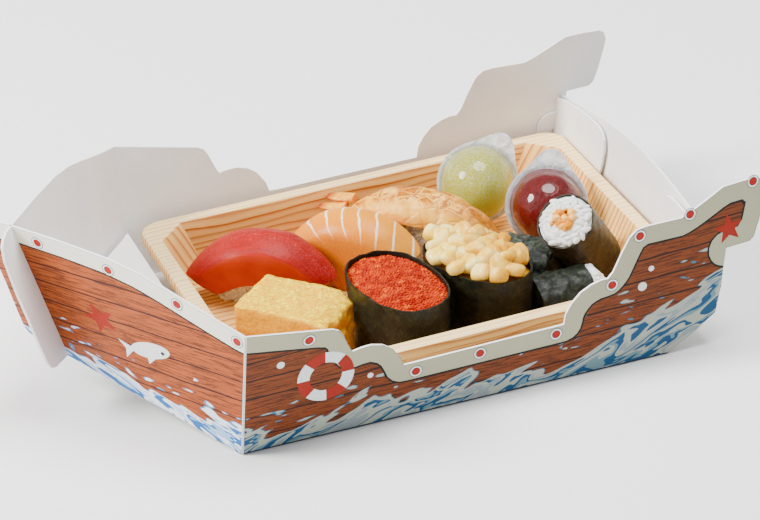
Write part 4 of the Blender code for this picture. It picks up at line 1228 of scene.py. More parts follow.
def draped(spec, profile, u, v, stretch=1.0, seed=1.0, rough=0.25):
    """A point of a slice: profile(v) gives (across, drop) for v from 0 to 1 round the section."""
    bend = math.radians(spec["bend"]) / spec["length"]
    angle = math.radians(spec["angle"])
    half_length = 0.5 * spec["length"]
    spine = spine_of(spec)
    s = (2.0 * u - 1.0) * half_length * stretch
    taper = spec["taper_left"] if s < 0 else spec["taper_right"]
    width = 1.0 - taper * abs(s / half_length) ** 2.5
    end = min(u, 1.0 - u)
    width *= min(1.0, (end / 0.05) * (2.0 - end / 0.05)) ** 0.5 * 0.6 + 0.4 if end < 0.05 else 1.0
    across, drop = profile(v)
    across *= width
    drop *= 0.45 + 0.55 * width
    heading = angle + bend * s
    middle = angle + 0.5 * bend * s
    slope = math.atan(spine(s + 0.5) - spine(s - 0.5))
    along = s - drop * math.sin(slope)
    x = spec["centre"][0] + along * math.cos(middle) - across * math.sin(heading)
    y = spec["centre"][1] + along * math.sin(middle) + across * math.cos(heading)
    z = spine(s) + drop * math.cos(slope)
    shake = rough * wave((x, y, z), 6.0, seed)
    z = max(z + shake, REST_Z)
    return place(x + 0.5 * shake, y, z)


def smooth_profile(points):
    """A closed section through (v, across, drop) points, as a smooth function of v."""
    count = len(points)

    def at(v):
        v = v % 1.0
        for k in range(count):
            a = points[k]
            b = points[(k + 1) % count]
            top = b[0] if k < count - 1 else 1.0
            if a[0] <= v <= top:
                before = points[k - 1]
                after = points[(k + 2) % count]
                t = (v - a[0]) / max(1e-9, top - a[0])
                out = []
                for c in (1, 2):
                    p0, p1, p2, p3 = before[c], a[c], b[c], after[c]
                    out.append(0.5 * (
                        2 * p1 + (p2 - p0) * t + (2 * p0 - 5 * p1 + 4 * p2 - p3) * t * t
                        + (3 * p1 - p0 - 3 * p2 + p3) * t ** 3))
                return out
        return points[0][1:]
    return at


def slice_piece(name, spec, profile, material, slot, replaces, relief=None, count_u=90, count_v=72, **more):
    builder = Builder()

    def point(u, v):
        p = draped(spec, profile, u, v, **more)
        if relief:
            p = p + Vector((0.0, 0.0, relief(u, v) * MM))
        return p

    builder.patch(point, count_u, count_v)
    for u in (0.0, 1.0):
        ring = [point(u, j / count_v) for j in range(count_v)]
        middle = sum(ring, Vector()) / count_v
        builder.patch(lambda a, b: point(u, b).lerp(middle, a), 4, count_v, lambda a, b: (u, b))
    return builder.build(name, material, slot, replaces)


class SUSHI_OT_tuna(bpy.types.Operator):
    """Lay the tuna slice"""
    bl_idname = "sushi.tuna"
    bl_label = "Tuna"

    def execute(self, context):
        section = smooth_profile([
            (0.0, -11.6, -17.6), (0.03, -12.6, -17.6), (0.08, -13.4, -13.6), (0.16, -13.6, -8.4), (0.22, -13.0, -5.2),
            (0.26, -12.0, -3.6), (0.34, -8.6, -1.6), (0.44, -3.4, -0.2), (0.53, 2.0, 0.0), (0.61, 6.6, -1.4),
            (0.69, 10.4, -4.6), (0.75, 12.4, -8.6), (0.79, 12.6, -11.4), (0.82, 11.2, -12.0), (0.87, 7.4, -9.0),
            (0.92, 0.0, -7.8), (0.97, -8.2, -12.6),
        ])
        slice_piece("tuna_slice_dressed", TUNA, section, tuna_material(), "tuna", ["tuna_slice"])
        return {"FINISHED"}


class SUSHI_OT_salmon(bpy.types.Operator):
    """Lay the salmon slice"""
    bl_idname = "sushi.salmon"
    bl_label = "Salmon"

    def execute(self, context):
        section = smooth_profile([
            (0.0, -11.6, -40.0), (0.1, -12.0, -16.0), (0.2, -11.7, -8.0), (0.27, -10.2, -4.4), (0.36, -6.6, -1.6),
            (0.45, -2.2, -0.2), (0.54, 2.2, -0.2), (0.62, 6.6, -1.6), (0.70, 10.2, -4.4), (0.77, 11.7, -8.0),
            (0.86, 12.0, -16.0), (0.94, 11.6, -40.0), (0.97, 0.0, -40.0),
        ])
        slice_piece("salmon_slice_dressed", SALMON, section, salmon_material(), "salmon", ["salmon_slice"])
        return {"FINISHED"}


class SUSHI_OT_shrimp(bpy.types.Operator):
    """Lay the shrimp with its tail fins"""
    bl_idname = "sushi.shrimp"
    bl_label = "Shrimp"

    def execute(self, context):
        section = smooth_profile([
            (0.0, -9.6, -10.4), (0.04, -10.6, -10.6), (0.12, -11.2, -8.2), (0.2, -10.6, -5.4), (0.3, -7.6, -2.2),
            (0.4, -3.2, -0.3), (0.5, 1.0, 0.0), (0.6, 5.4, -1.0), (0.7, 9.2, -4.0), (0.78, 10.9, -8.0),
            (0.82, 10.4, -10.4), (0.86, 8.6, -9.6), (0.91, 1.0, -5.4), (0.96, -6.4, -8.0),
        ])

        def relief(u, v):
            if not 0.06 < v < 0.8:
                return 0.0
            ridge = abs(math.sin(math.pi * (5.6 * u + 0.35 * math.sin(6.0 * v)))) ** 0.55
            seam = math.exp(-((v - 0.46) / 0.015) ** 2)
            return 1.1 * (ridge - 0.75) - 0.7 * seam

        mat = shrimp_material()
        form = dict(SHRIMP, centre=(16.5, 28.8), taper_right=0.34)
        slice_piece("shrimp_dressed", form, section, mat, "shrimp", ["shrimp"], relief, 130, 72,
                    stretch=1.05, rough=0.4, seed=4.0)
        builder = Builder()
        angle = math.radians(SHRIMP["angle"])
        along = Vector((math.cos(angle), math.sin(angle), 0.0))
        across = Vector((-along.y, along.x, 0.0))
        fins = (((-9.2, 58.6, 25.0), 13.6, 3.4, 0.05), ((-13.6, 57.4, 22.3), 12.8, 3.2, -0.05))
        for middle, length, half, turn in fins:
            axis = across * math.sin(turn) - along * math.cos(turn)
            flank = across * math.cos(turn) + along * math.sin(turn)
            start = Vector(middle) - axis * (0.5 * length)

            def fin(u, v):
                a = 2.0 * math.pi * v
                wide = half * (0.45 + 0.55 * math.sin(math.pi * min(0.82, 0.25 + 0.62 * u)))
                wide *= 1.0 - max(0.0, u - 0.8) * 1.8
                thick = 1.5 * (1.0 - u) + 0.4
                crease = 0.35 * math.cos(4.0 * math.pi * v)
                p = start + axis * (u * length) + flank * (wide * math.cos(a))
                return place(*(p + Vector((0, 0, thick * math.sin(a) + crease * u - 1.6 * (u - 0.5)))))
            builder.patch(fin, 20, 20, lambda u, v: (2.0, u))
            for end in (0.0, 1.0):
                hub = sum((fin(end, j / 20) for j in range(20)), Vector()) / 20
                builder.patch(lambda a, b: fin(end, b).lerp(hub, a), 2, 20, lambda a, b: (2.0, end))
        builder.build("shrimp_tail", mat, "shrimp")
        return {"FINISHED"}


def on_block(spec, inset, narrow, shorter):
    """The rounded top of a rice block under a slice, from the floor up and over."""
    half_length = 0.5 * spec["length"] - shorter
    spine = spine_of(spec)
    bend = math.radians(spec["bend"]) / spec["length"]
    angle = math.radians(spec["angle"])

    def point(u, v):
        a = math.pi * (v - 0.5)
        s = (2.0 * u - 1.0) * half_length
        end = max(0.0, abs(2.0 * u - 1.0) - 0.8) / 0.2
        round_end = math.sqrt(max(0.0, 1.0 - end * end * 0.75))
        half = (spec["half"] - inset) * narrow * round_end
        high = max(5.0, spine(s) - inset - 0.8 - REST_Z) * (0.6 + 0.4 * round_end)
        across = half * math.copysign(abs(math.sin(a)) ** 0.7, a)
        z = REST_Z + high * max(0.0, math.cos(a)) ** 0.6
        heading = angle + bend * s
        middle = angle + 0.5 * bend * s
        x = spec["centre"][0] + s * math.cos(middle) - across * math.sin(heading)
        y = spec["centre"][1] + s * math.sin(middle) + across * math.cos(heading)
        return place(x, y, z)
    return point


class SUSHI_OT_rice(bpy.types.Operator):
    """Press the rice blocks and scatter their grains"""
    bl_idname = "sushi.rice"
    bl_label = "Rice blocks"

    def execute(self, context):
        food = context.scene.sushi_food
        mat = rice_material()
        tree = scatter_tree("rice_scatter", mat)
        grain = grain_shape("rice_guide", 8, 6, 0.12)
        blocks = (("tuna_rice", TUNA, 8.0, 1.1, 13.0), ("shrimp_rice", SHRIMP, 5.6, 1.25, 11.0))
        for name, spec, inset, narrow, shorter in blocks:
            builder = Builder()
            point = on_block(spec, inset, narrow, shorter)
            builder.patch(point, 26, 24)
            for u in (0.0, 1.0):
                middle = sum((point(u, j / 24) for j in range(25)), Vector()) / 25
                builder.patch(lambda a, b: point(u, b).lerp(middle, a), 4, 24)
            mesh = loose_mesh(builder, name + "_core", mat)
            grains = scatter(mesh.copy(), tree, food.rice_gap, (4.6, 2.1, 1.9), 0.45, food.seed, grain)
            show(name + "_grains", merged([mesh, grains]), mat, [name])
        bpy.data.objects.remove(grain, do_unlink=True)
        return {"FINISHED"}


class SUSHI_OT_omelette(bpy.types.Operator):
    """Cut the block of omelette"""
    bl_idname = "sushi.omelette"
    bl_label = "Omelette"

    def execute(self, context):
        height = OMELETTE["top"] - REST_Z
        size = Vector((OMELETTE["length"], OMELETTE["width"], height))
        bm = bmesh.new()
        bmesh.ops.create_cube(bm, size=1.0)
        bmesh.ops.scale(bm, vec=size, verts=bm.verts[:])
        bmesh.ops.bevel(bm, geom=bm.edges[:], offset=1.3, segments=2, affect="EDGES", profile=0.6)
        bmesh.ops.subdivide_edges(bm, edges=[e for e in bm.edges if e.calc_length() > 4.0], cuts=24, use_grid_fill=True)
        angle = math.radians(OMELETTE["angle"])
        cos, sin = math.cos(angle), math.sin(angle)
        for vert in bm.verts:
            p = vert.co
            end = max(0.0, p.x / (0.5 * size.x) - 0.4) / 0.6
            high = max(0.0, p.z / height + 0.1)
            p.z -= 4.0 * end * end * high
            if p.y > 0.0:
                p.y -= 4.4 * end * end
            if p.z < 0.0:
                p.y *= 0.97
            ragged = max(0.0, p.x / (0.5 * size.x) - 0.7) / 0.3
            top = 1.0 if p.z > 0.0 else 0.3
            p.x += (0.55 + 1.6 * ragged) * wave(p, 3.6, 2.0) * top
            p.y += 0.5 * wave(p, 3.4, 5.0) * top
            p.z += (0.35 * wave(p, 1.7, 9.0) + 0.5 * wave(p, 6.0, 1.0)) * top
            x = OMELETTE["centre"][0] + p.x * cos - p.y * sin
            y = OMELETTE["centre"][1] + p.x * sin + p.y * cos
            vert.co = place(x, y, max(REST_Z, REST_Z + 0.5 * height + p.z))
        bmesh.ops.recalc_face_normals(bm, faces=bm.faces[:])
        mesh = bpy.data.meshes.new("omelette")
        bm.to_mesh(mesh)
        bm.free()
        show("omelette", mesh, egg_material(), ["tamago"], smooth=60.0)
        return {"FINISHED"}


# gunkan

def oval_point(spec, angle, out, f):
    """A point of a gunkan's plan, moved outward by out mm and scaled by f."""
    power = 2.25
    c, s = math.cos(angle), math.sin(angle)
    u = (spec["a"] * f + out) * math.copysign(abs(c) ** (2.0 / power), c)
    v = (spec["b"] * f + out) * math.copysign(abs(s) ** (2.0 / power), s)
    turn = math.radians(spec["angle"])
    x = spec["centre"][0] + u * math.cos(turn) - v * math.sin(turn)
    y = spec["centre"][1] + u * math.sin(turn) + v * math.cos(turn)
    return x, y


def flare(z):
    """How much narrower than at its top a nori band is at height z."""
    return 0.93 + 0.07 * min(1.0, max(0.0, (z - REST_Z) / (BAND_TOP - REST_Z)))


def nori_band(name, spec, material, replaces, seed):
    builder = Builder()

    def wall(depth):
        def point(u, v):
            a = 2.0 * math.pi * u
            ragged = 0.7 * wave((10.0 * math.cos(a), 10.0 * math.sin(a), 0.0), 2.4, seed)
            z = REST_Z + (BAND_TOP - REST_Z + ragged) * v
            x, y = oval_point(spec, a, depth, flare(z))
            crease = 0.28 * wave((x, y, z), 5.0, seed) + 0.12 * wave((x, y, z), 1.8, seed)
            x2, y2 = oval_point(spec, a, depth + crease - 0.3, flare(z))
            return place(x2, y2, z)
        return point
    outer, inner = wall(0.0), wall(-0.7)
    builder.patch(outer, 150, 26)
    builder.patch(inner, 150, 6)
    builder.patch(lambda u, v: outer(u, 1.0).lerp(inner(u, 1.0), v), 150, 1, lambda u, v: (u, 1.0))
    builder.patch(lambda u, v: outer(u, 0.0).lerp(inner(u, 0.0), v), 150, 1, lambda u, v: (u, 0.0))
    return builder.build(name, material, "nori", replaces)


def heap_surface(spec, inset, top, rise, seed, lump=0.0):
    """The fill of a band: down to the floor at its edge, a low dome on top."""
    def point(u, v):
        a = 2.0 * math.pi * u
        if v < 0.3:
            z = REST_Z + (top - 1.0 - REST_Z) * v / 0.3
            x, y = oval_point(spec, a, -inset, flare(z))
            return place(x, y, z)
        f = (v - 0.3) / 0.7
        x, y = oval_point(spec, a, -inset, 1.0 - f)
        if f > 0.999:
            x, y = spec["centre"]
        z = top - 1.0 + (rise + 1.0) * math.sin(min(1.0, f * 1.15) * math.pi / 2)
        z += lump * wave((x, y, 0.0), 5.5, seed)
        return place(x, y, z)
    return point


class SUSHI_OT_roe(bpy.types.Operator):
    """Fill the first nori band with roe"""
    bl_idname = "sushi.roe"
    bl_label = "Roe gunkan"

    def execute(self, context):
        food = context.scene.sushi_food
        nori_band("roe_nori", ROE, nori_material("nori_band_roe"), ["roe_band"], 3.0)
        mat = bead_material("roe_beads", (0.30, 0.010, 0.0), (0.50, 0.042, 0.0), (0.66, 0.11, 0.0))
        builder = Builder()
        point = heap_surface(ROE, 1.2, BAND_TOP - 1.1, 1.7, 6.0, 0.6)
        builder.patch(point, 72, 30)
        mesh = loose_mesh(builder, "roe_core", mat)
        builder = Builder()
        builder.patch(lambda u, v: point(u, 0.28 + 0.72 * v), 72, 24)
        surface = loose_mesh(builder, "roe_top", mat)
        bead = grain_shape("roe_guide", 7, 5)
        size = food.roe_size
        tree = scatter_tree("roe_scatter", mat)
        grains = scatter(surface, tree, food.roe_gap, (size, size, size), 0.1, food.seed, bead)
        bpy.data.objects.remove(bead, do_unlink=True)
        show("roe_dressed", merged([mesh, grains]), mat, ["roe"])
        return {"FINISHED"}


def kernel_mesh(centre, size, turn, bm, tones, tone):
    """A corn kernel: blunt crown, narrower root, a soft dent."""
    square = 0.55
    made = bmesh.ops.create_uvsphere(bm, u_segments=14, v_segments=10, radius=1.0)
    for vert in made["verts"]:
        p = vert.co
        narrow = 1.0 - 0.28 * max(0.0, -p.x)
        y, z = (math.copysign(abs(c) ** square, c) * narrow for c in (p.y, p.z))
        p = Vector((p.x, y, z))
        dent = 0.25 * math.exp(-((p.y * 1.8) ** 2 + ((p.x - 0.9) * 1.6) ** 2))
        p.x -= dent
        p = Vector((p.x * size[0], p.y * size[1], p.z * size[2]))
        p += Vector((0.22, 0.22, 0.22)) * wave(p, 1.6, tone * 9.0)
        p = turn @ p + centre
        vert.co = place(*p)
        tones[vert] = tone


class SUSHI_OT_corn(bpy.types.Operator):
    """Fill the second nori band with corn"""
    bl_idname = "sushi.corn"
    bl_label = "Corn gunkan"

    def execute(self, context):
        # warm adds a brown tone to the nori and strengthens its painted glints
        nori_band("corn_nori", CORN, nori_material("nori_band_corn", warm_tone_and_glint=0.25), ["corn_band"], 8.0)
        mat = corn_material()
        rng = random.Random(11)
        bm = bmesh.new()
        tones = {}
        builder = Builder()
        builder.patch(heap_surface(CORN, 1.2, BAND_TOP - 2.6, 2.4, 2.0), 48, 20)
        angle = math.radians(CORN["angle"])
        count = 34
        for k in range(count):
            r = math.sqrt((k + 0.5) / count)
            turn = k * GOLDEN_ANGLE + 0.4
            u = (CORN["a"] - 2.6) * r * math.cos(turn)
            v = (CORN["b"] - 2.6) * r * math.sin(turn)
            x = CORN["centre"][0] + u * math.cos(angle) - v * math.sin(angle)
            y = CORN["centre"][1] + u * math.sin(angle) + v * math.cos(angle)
            z = BAND_TOP + 0.6 + 4.4 * math.sqrt(max(0.0, 1.0 - r * r)) + rng.uniform(-1.2, 1.4)
            spin = Matrix.Rotation(rng.uniform(0.0, 6.28), 3, "Z") @ Matrix.Rotation(rng.uniform(-0.8, 0.5), 3, "Y")
            spin = spin @ Matrix.Rotation(rng.uniform(-0.6, 0.6), 3, "X")
            size = (rng.uniform(4.4, 6.0), rng.uniform(3.6, 4.8), rng.uniform(2.4, 3.2))
            left = max(0.0, min(1.0, 0.5 - (0.4 * u + 0.9 * v) / 22.0 + rng.uniform(-0.25, 0.25)))
            kernel_mesh(Vector((x, y, z)), size, spin, bm, tones, left)
        mesh = bpy.data.meshes.new("corn")
        bm.verts.index_update()
        values = [tones.get(v, 0.5) for v in bm.verts]
        bm.to_mesh(mesh)
        bm.free()
        attr = mesh.attributes.new("tone", "FLOAT", "POINT")
        attr.data.foreach_set("value", values)
        base = loose_mesh(builder, "corn_core", mat)
        show("corn_dressed", merged([mesh, base]), mat, ["corn"], smooth=80.0)
        return {"FINISHED"}


# rolls

def roll_sleeve(name, spec, material, seed, crumple, before=0.0, after=0.0):
    """The nori, longer than the roll by before and after; a longer end is closed."""
    point = turned_point(spec["start"], spec["axis"])
    length = spec["length"]
    builder = Builder()

    def wall(radius):
        def at(u, v):
            a = 2.0 * math.pi * u
            ragged = 0.6 * wave((8.0 * math.cos(a), 8.0 * math.sin(a), v), 2.2, seed)
            along = v * (length + before + after) - before + ragged * (0.5 - v)
            q = (ROLL_RADIUS * math.cos(a), ROLL_RADIUS * math.sin(a), along)
            crease = crumple * wave(q, 4.0, seed) + 0.35 * crumple * wave(q, 1.5, seed)
            return point(radius - 0.35 + crease, a, along)
        return at
    outer, inner = wall(ROLL_RADIUS), wall(ROLL_RADIUS - 0.55)
    builder.patch(outer, 110, 40)
    builder.patch(inner, 110, 6)
    for end in (0.0, 1.0):
        builder.patch(lambda u, v: outer(u, end).lerp(inner(u, end), v), 110, 1, lambda u, v: (u, end))
    middle = point(0.0, 0.0, 0.5 * length)
    for end, spare in ((0.0, before), (1.0, after)):
        if spare > 0.0:
            hub = point(0.0, 0.0, end * (length + before + after) - before + (2.0 * end - 1.0) * 0.8)
            out = (hub - middle).normalized()

            def cap(u, v):
                return inner(u, end).lerp(hub, v) + out * (0.0006 * wave((9.0 * u, 9.0 * v, end), 2.0, seed) * v)
            builder.patch(cap, 110, 10, lambda u, v: (u, end))
    return builder.build(name + "_nori_dressed", material, "nori", [name + "_nori"])


def roll_rice(name, spec, mat, tree, grain, food, hole=0.0, dome=0.8, lift=0.9, bulge=0.0, size=(4.4, 2.3, 2.0),
              ends=(False, True)):
    """Rice core with grains standing out of the cut ends: False is the first end, True the last."""
    point = turned_point(spec["start"], spec["axis"])
    length = spec["length"]
    radius = ROLL_RADIUS - 1.3
    builder = Builder()

    def core(u, v):
        a = 2.0 * math.pi * u
        if v < 0.25:
            f = v / 0.25
            return point(hole + (radius - 0.4 - hole) * f, a, 0.4 - dome * (1.0 - f * f))
        if v > 0.75:
            f = (1.0 - v) / 0.25
            return point(hole + (radius - 0.4 - hole) * f, a, length - 0.4)
        return point(radius, a, 0.5 + (length - 1.0) * (v - 0.25) / 0.5)
    builder.patch(core, 40, 32)
    if hole:
        builder.patch(lambda u, v: point(hole, 2.0 * math.pi * u, (0.4 - dome) + v * (length - 0.8 + dome)), 40, 4)
    base = loose_mesh(builder, name + "_core", mat)
    faces = []
    for flip in ends:
        builder = Builder()
        high = length - 0.6 if flip else lift
        crown = bulge if flip else -dome
        start = max(hole, 0.05)
        builder.patch(lambda u, v: point(
            start + (radius - 1.0 - start) * v, 2 * math.pi * u, high + crown * (1.0 - v * v)), 40, 8)
        face = loose_mesh(builder, "cut_face", mat)
        axis = Vector(spec["axis"]).normalized()
        face_outward(face, axis if flip else -axis)
        faces.append(scatter(face, tree, food.rice_gap * 0.82, size, 0.5, food.seed + 3, grain))
    return show(name + "_rice_dressed", merged([base] + faces), mat, [name + "_rice"])


class SUSHI_OT_rolls(bpy.types.Operator):
    """Roll the three thin rolls"""
    bl_idname = "sushi.rolls"
    bl_label = "Thin rolls"

    def execute(self, context):
        food = context.scene.sushi_food
        mat = rice_material("roll_rice")
        tree = scatter_tree("roll_rice_scatter", mat)
        grain = grain_shape("rice_guide", 9, 7, 0.1)
        # warm adds a brown tone and strengthens the painted glints of the nori; pale sets the painted sheen on its
        # crumples
        roll_sleeve("top_roll", TOP_ROLL, nori_material("nori_top_roll", warm_tone_and_glint=0.75), 5.0, 0.35)
        roll_sleeve("back_roll", BACK_ROLL, nori_material("nori_back_roll", pale=0.4), 6.0, 0.9, after=5.0)
        roll_sleeve("front_roll", FRONT_ROLL, nori_material("nori_front_roll", pale=0.12), 7.0, 0.8,
                    before=4.0, after=-3.5)
        roll_rice("top_roll", TOP_ROLL, mat, tree, grain, food, hole=FILLING_RADIUS, dome=1.0, lift=-0.5,
                  size=(5.4, 2.6, 2.2))
        roll_rice("back_roll", BACK_ROLL, mat, tree, grain, food, ends=(False,))
        roll_rice("front_roll", FRONT_ROLL, mat, tree, grain, food, bulge=5.0, size=(4.8, 2.5, 2.2), ends=(True,))
        bpy.data.objects.remove(grain, do_unlink=True)
        self.filling()
        return {"FINISHED"}

    def filling(self):
        """Beans and crumbs pressed into the middle of the standing roll."""
        rng = random.Random(5)
        point = turned_point(TOP_ROLL["start"], TOP_ROLL["axis"])
        bm = bmesh.new()
        tones = {}
        shapes = [(rng.uniform(0.0, 4.2), 1.9) for _ in range(10)]
        shapes += [(rng.uniform(0.0, 5.2), 1.0) for _ in range(30)]
        for index, (out, size) in enumerate(shapes):
            a = index * GOLDEN_ANGLE
            made = bmesh.ops.create_uvsphere(bm, u_segments=9, v_segments=7, radius=1.0)
            turn = Matrix.Rotation(rng.uniform(0.0, 6.28), 3, "Z") @ Matrix.Rotation(rng.uniform(0.0, 3.14), 3, "Y")
            centre = point(out, a, rng.uniform(-2.6, -1.4)) / MM
            tone = rng.random()
            form = Vector((size * rng.uniform(1.0, 1.5), size, size * 0.85))
            for vert in made["verts"]:
                p = Vector((vert.co.x * form.x, vert.co.y * form.y, vert.co.z * form.z))
                p += Vector((0.25, 0.25, 0.25)) * wave(p, 0.9, index * 1.3) * size
                vert.co = (turn @ p + centre) * MM
                tones[vert] = tone
        mesh = bpy.data.meshes.new("filling")
        values = [tones[v] for v in bm.verts]
        bm.to_mesh(mesh)
        bm.free()
        attr = mesh.attributes.new("tone", "FLOAT", "POINT")
        attr.data.foreach_set("value", values)
        builder = Builder()
        length = TOP_ROLL["length"]

        def core(u, v):
            radius = FILLING_RADIUS * min(1.0, min(v, 1.0 - v) * 8.0)
            return point(radius, 2.0 * math.pi * u, -0.2 + (length - 0.4) * max(0.0, min(1.0, (v - 0.125) / 0.75)))
        builder.patch(core, 24, 16)
        mat = bean_material()
        base = loose_mesh(builder, "filling_core", mat)
        show("top_roll_filling_dressed", merged([mesh, base]), mat, ["top_roll_filling"])


# jelly cups

def dome_profile(radius, mouth, length):
    """(radius, along) from the mouth to the middle of the round end."""
    steps = 14
    points = [(mouth, 0.0), (0.5 * (mouth + radius + 0.1), 0.5 * (length - radius)), (radius + 0.2, length - radius)]
    for k in range(1, steps + 1):
        a = 0.5 * math.pi * k / steps
        points.append((radius * math.cos(a), length - radius + radius * math.sin(a)))
    return points


def turned_patch(builder, point, profile, steps):
    """Turns a profile round the axis of point."""
    count = len(profile) - 1

    def at(u, v):
        k = min(count, int(round(v * count)))
        return point(profile[k][0], 2.0 * math.pi * u, profile[k][1])
    builder.patch(at, steps, count)


class SUSHI_OT_cups(bpy.types.Operator):
    """Set the two jelly cups with their film lids"""
    bl_idname = "sushi.cups"
    bl_label = "Jelly cups"

    def execute(self, context):
        settings = context.scene.sushi_cups
        clear = clear_material()
        film = film_material()
        looks = {
            # the last two values of each jelly are the colour and strength of its painted glints
            "green": jelly_material("green_jelly", settings.green, (0.86, 0.88, 0.62), 0.6),
            "red": jelly_material("red_jelly", settings.red, (0.28, 0.07, 0.08), 0.4),
        }
        for name, spec in CUPS.items():
            point = turned_point(spec["centre"], CUP_AXIS)
            outer = dome_profile(14.5, 15.4, 21.5)
            inner = dome_profile(13.8, 14.7, 20.8)
            lip = [(14.7, 0.0), (17.2, 0.0), (17.3, 0.4), (17.2, 0.8), (15.5, 0.85)]
            builder = Builder()
            turned_patch(builder, point, lip + outer[1:], 64)
            turned_patch(builder, point, inner, 64)
            builder.build(name + "_cup_dressed", clear, "clear_cup", [name + "_cup"])
            # the jelly reaches just into the cup's wall, so that no gap shows between them
            fill = [(0.0, 0.35)] + [(r + 0.15, max(0.35, d + 0.1)) for r, d in inner[:-1]] + [(0.0, 20.95)]
            fill[-2] = (fill[-2][0], 20.9)
            builder = Builder()
            turned_patch(builder, point, fill, 64)
            builder.build(name + "_jelly_dressed", looks[name], name + "_jelly", [name + "_jelly"])
            self.upright(name + "_jelly_dressed")
            builder = Builder()
            tab = math.radians(spec["tab"])

            def lid(depth):
                def at(u, v):
                    a = 2.0 * math.pi * u
                    reach = 17.4 + 6.4 * max(0.0, math.cos(a - tab)) ** 14
                    r = reach * v
                    q = (r * math.cos(a), r * math.sin(a), 0.0)
                    loose = max(0.0, r - 16.5) / 8.0
                    fold = loose * 1.4 * wave(q, 4.0, 3.0) + 0.05 * wave(q, 3.0, 1.0)
                    return point(r, a, depth + min(0.25, fold))
                return at
            top, under = lid(-0.32), lid(-0.55)
            builder.patch(top, 96, 24)
            builder.patch(under, 96, 24)
            builder.patch(lambda u, v: top(u, 1.0).lerp(under(u, 1.0), v), 96, 1)
            builder.build(name + "_lid_dressed", film, "lid_film", [name + "_lid"])
        return {"FINISHED"}

    def upright(self, name):
        """Sets the jelly's UVs to its height in the cup, for the moulded grain."""
        mesh = bpy.data.objects[name].data
        zs = [v.co.z for v in mesh.vertices]
        low, high = min(zs), max(zs)
        layer = mesh.uv_layers["UVMap"].data
        for loop in mesh.loops:
            z = mesh.vertices[loop.vertex_index].co.z
            layer[loop.index].uv = (0.5, (z - low) / (high - low))


# stage

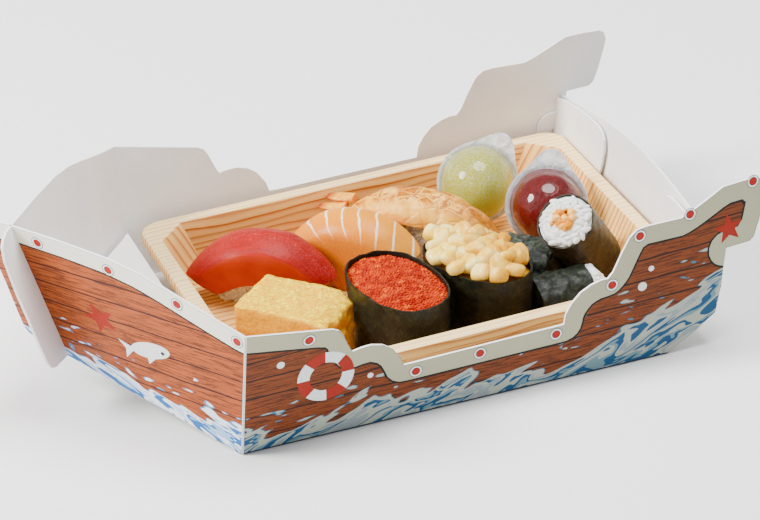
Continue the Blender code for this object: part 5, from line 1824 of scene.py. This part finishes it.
class SUSHI_OT_stage(bpy.types.Operator):
    """Set the pale floor, the soft light and the camera"""
    bl_idname = "sushi.stage"
    bl_label = "Stage"

    def execute(self, context):
        settings = context.scene.sushi_stage
        scene = context.scene
        bm = bmesh.new()
        bmesh.ops.create_grid(bm, x_segments=1, y_segments=1, size=6.0)
        mesh = bpy.data.meshes.new("floor")
        bm.to_mesh(mesh)
        bm.free()
        floor = helper("floor", mesh)
        floor.location.z = -0.0004
        f = Finish("floor_paper")
        mist = f.noise(f.place(), 3.0)
        mesh.materials.append(f.finish(f.mix(mist, (0.90, 0.90, 0.90), (0.88, 0.88, 0.885)), 0.8))
        world = bpy.data.worlds.new("soft_sky")
        world.use_nodes = True
        background = world.node_tree.nodes["Background"]
        background.inputs[0].default_value = (1.0, 1.0, 1.0, 1.0)
        background.inputs[1].default_value = settings.sky
        scene.world = world
        lights = (
            ("window", (-1.1, 0.3, 0.95), 0.6, settings.key, (1.0, 0.985, 0.96)),
            ("top", (0.2, 0.05, 1.4), 0.9, settings.key * 0.75, (1.0, 1.0, 1.0)),
        )
        for name, where, size, power, colour in lights:
            data = bpy.data.lights.new(name, "AREA")
            data.shape = "DISK"
            data.size = size
            data.energy = power
            data.color = colour
            lamp = helper(name, data)
            lamp.location = where
            lamp.rotation_mode = "QUATERNION"
            lamp.rotation_quaternion = (Vector((0.0, 0.0, 0.03)) - Vector(where)).to_track_quat("-Z", "Y")
        azimuth, elevation, roll = (math.radians(CAMERA_DEGREES[k]) for k in ("azimuth", "elevation", "roll"))
        back = Vector((
            math.sin(azimuth) * math.cos(elevation), -math.cos(azimuth) * math.cos(elevation), math.sin(elevation)))
        right = Vector((math.cos(azimuth), math.sin(azimuth), 0.0))
        up = back.cross(right)
        turned_right = math.cos(roll) * right + math.sin(roll) * up
        turned_up = -math.sin(roll) * right + math.cos(roll) * up
        camera = bpy.data.cameras.new("camera")
        camera.sensor_width = SENSOR_WIDTH
        camera.lens = FOCAL_PIXELS * SENSOR_WIDTH / IMAGE_WIDTH
        holder = helper("camera", camera)
        matrix = Matrix((turned_right, turned_up, back)).transposed().to_4x4()
        matrix.translation = place(*CAMERA_AT)
        holder.matrix_world = matrix
        scene.camera = holder
        return {"FINISHED"}


class SUSHI_PT_panel(bpy.types.Panel):
    """Lists the pieces and their settings"""
    bl_idname = "SUSHI_PT_panel"
    bl_label = "Sushi tray"
    bl_space_type = "VIEW_3D"
    bl_region_type = "UI"
    bl_category = "Sushi tray"

    def draw(self, context):
        layout = self.layout
        scene = context.scene
        for group in (scene.sushi_box, scene.sushi_tray, scene.sushi_food, scene.sushi_cups, scene.sushi_stage):
            box = layout.box()
            for key in group.__annotations__:
                box.prop(group, key)
        for operator in OPERATORS:
            layout.operator(operator.bl_idname)


OPERATORS = [
    SUSHI_OT_box, SUSHI_OT_rivets, SUSHI_OT_motifs, SUSHI_OT_tray, SUSHI_OT_tuna, SUSHI_OT_salmon, SUSHI_OT_shrimp,
    SUSHI_OT_rice, SUSHI_OT_omelette, SUSHI_OT_roe, SUSHI_OT_corn, SUSHI_OT_rolls, SUSHI_OT_cups, SUSHI_OT_stage,
]
GROUPS = {
    "sushi_box": BoxSettings, "sushi_tray": TraySettings, "sushi_food": FoodSettings,
    "sushi_cups": CupSettings, "sushi_stage": StageSettings,
}


def register():
    for group in GROUPS.values():
        bpy.utils.register_class(group)
    for operator in OPERATORS:
        bpy.utils.register_class(operator)
    bpy.utils.register_class(SUSHI_PT_panel)
    for name, group in GROUPS.items():
        setattr(bpy.types.Scene, name, PointerProperty(type=group))


def unregister():
    for name in GROUPS:
        delattr(bpy.types.Scene, name)
    bpy.utils.unregister_class(SUSHI_PT_panel)
    for operator in reversed(OPERATORS):
        bpy.utils.unregister_class(operator)
    for group in reversed(list(GROUPS.values())):
        bpy.utils.unregister_class(group)


def main():
    register()
    for operator in OPERATORS:
        family, name = operator.bl_idname.split(".")
        getattr(getattr(bpy.ops, family), name)()
    bpy.context.view_layer.update()


if __name__ == "__main__":
    main()
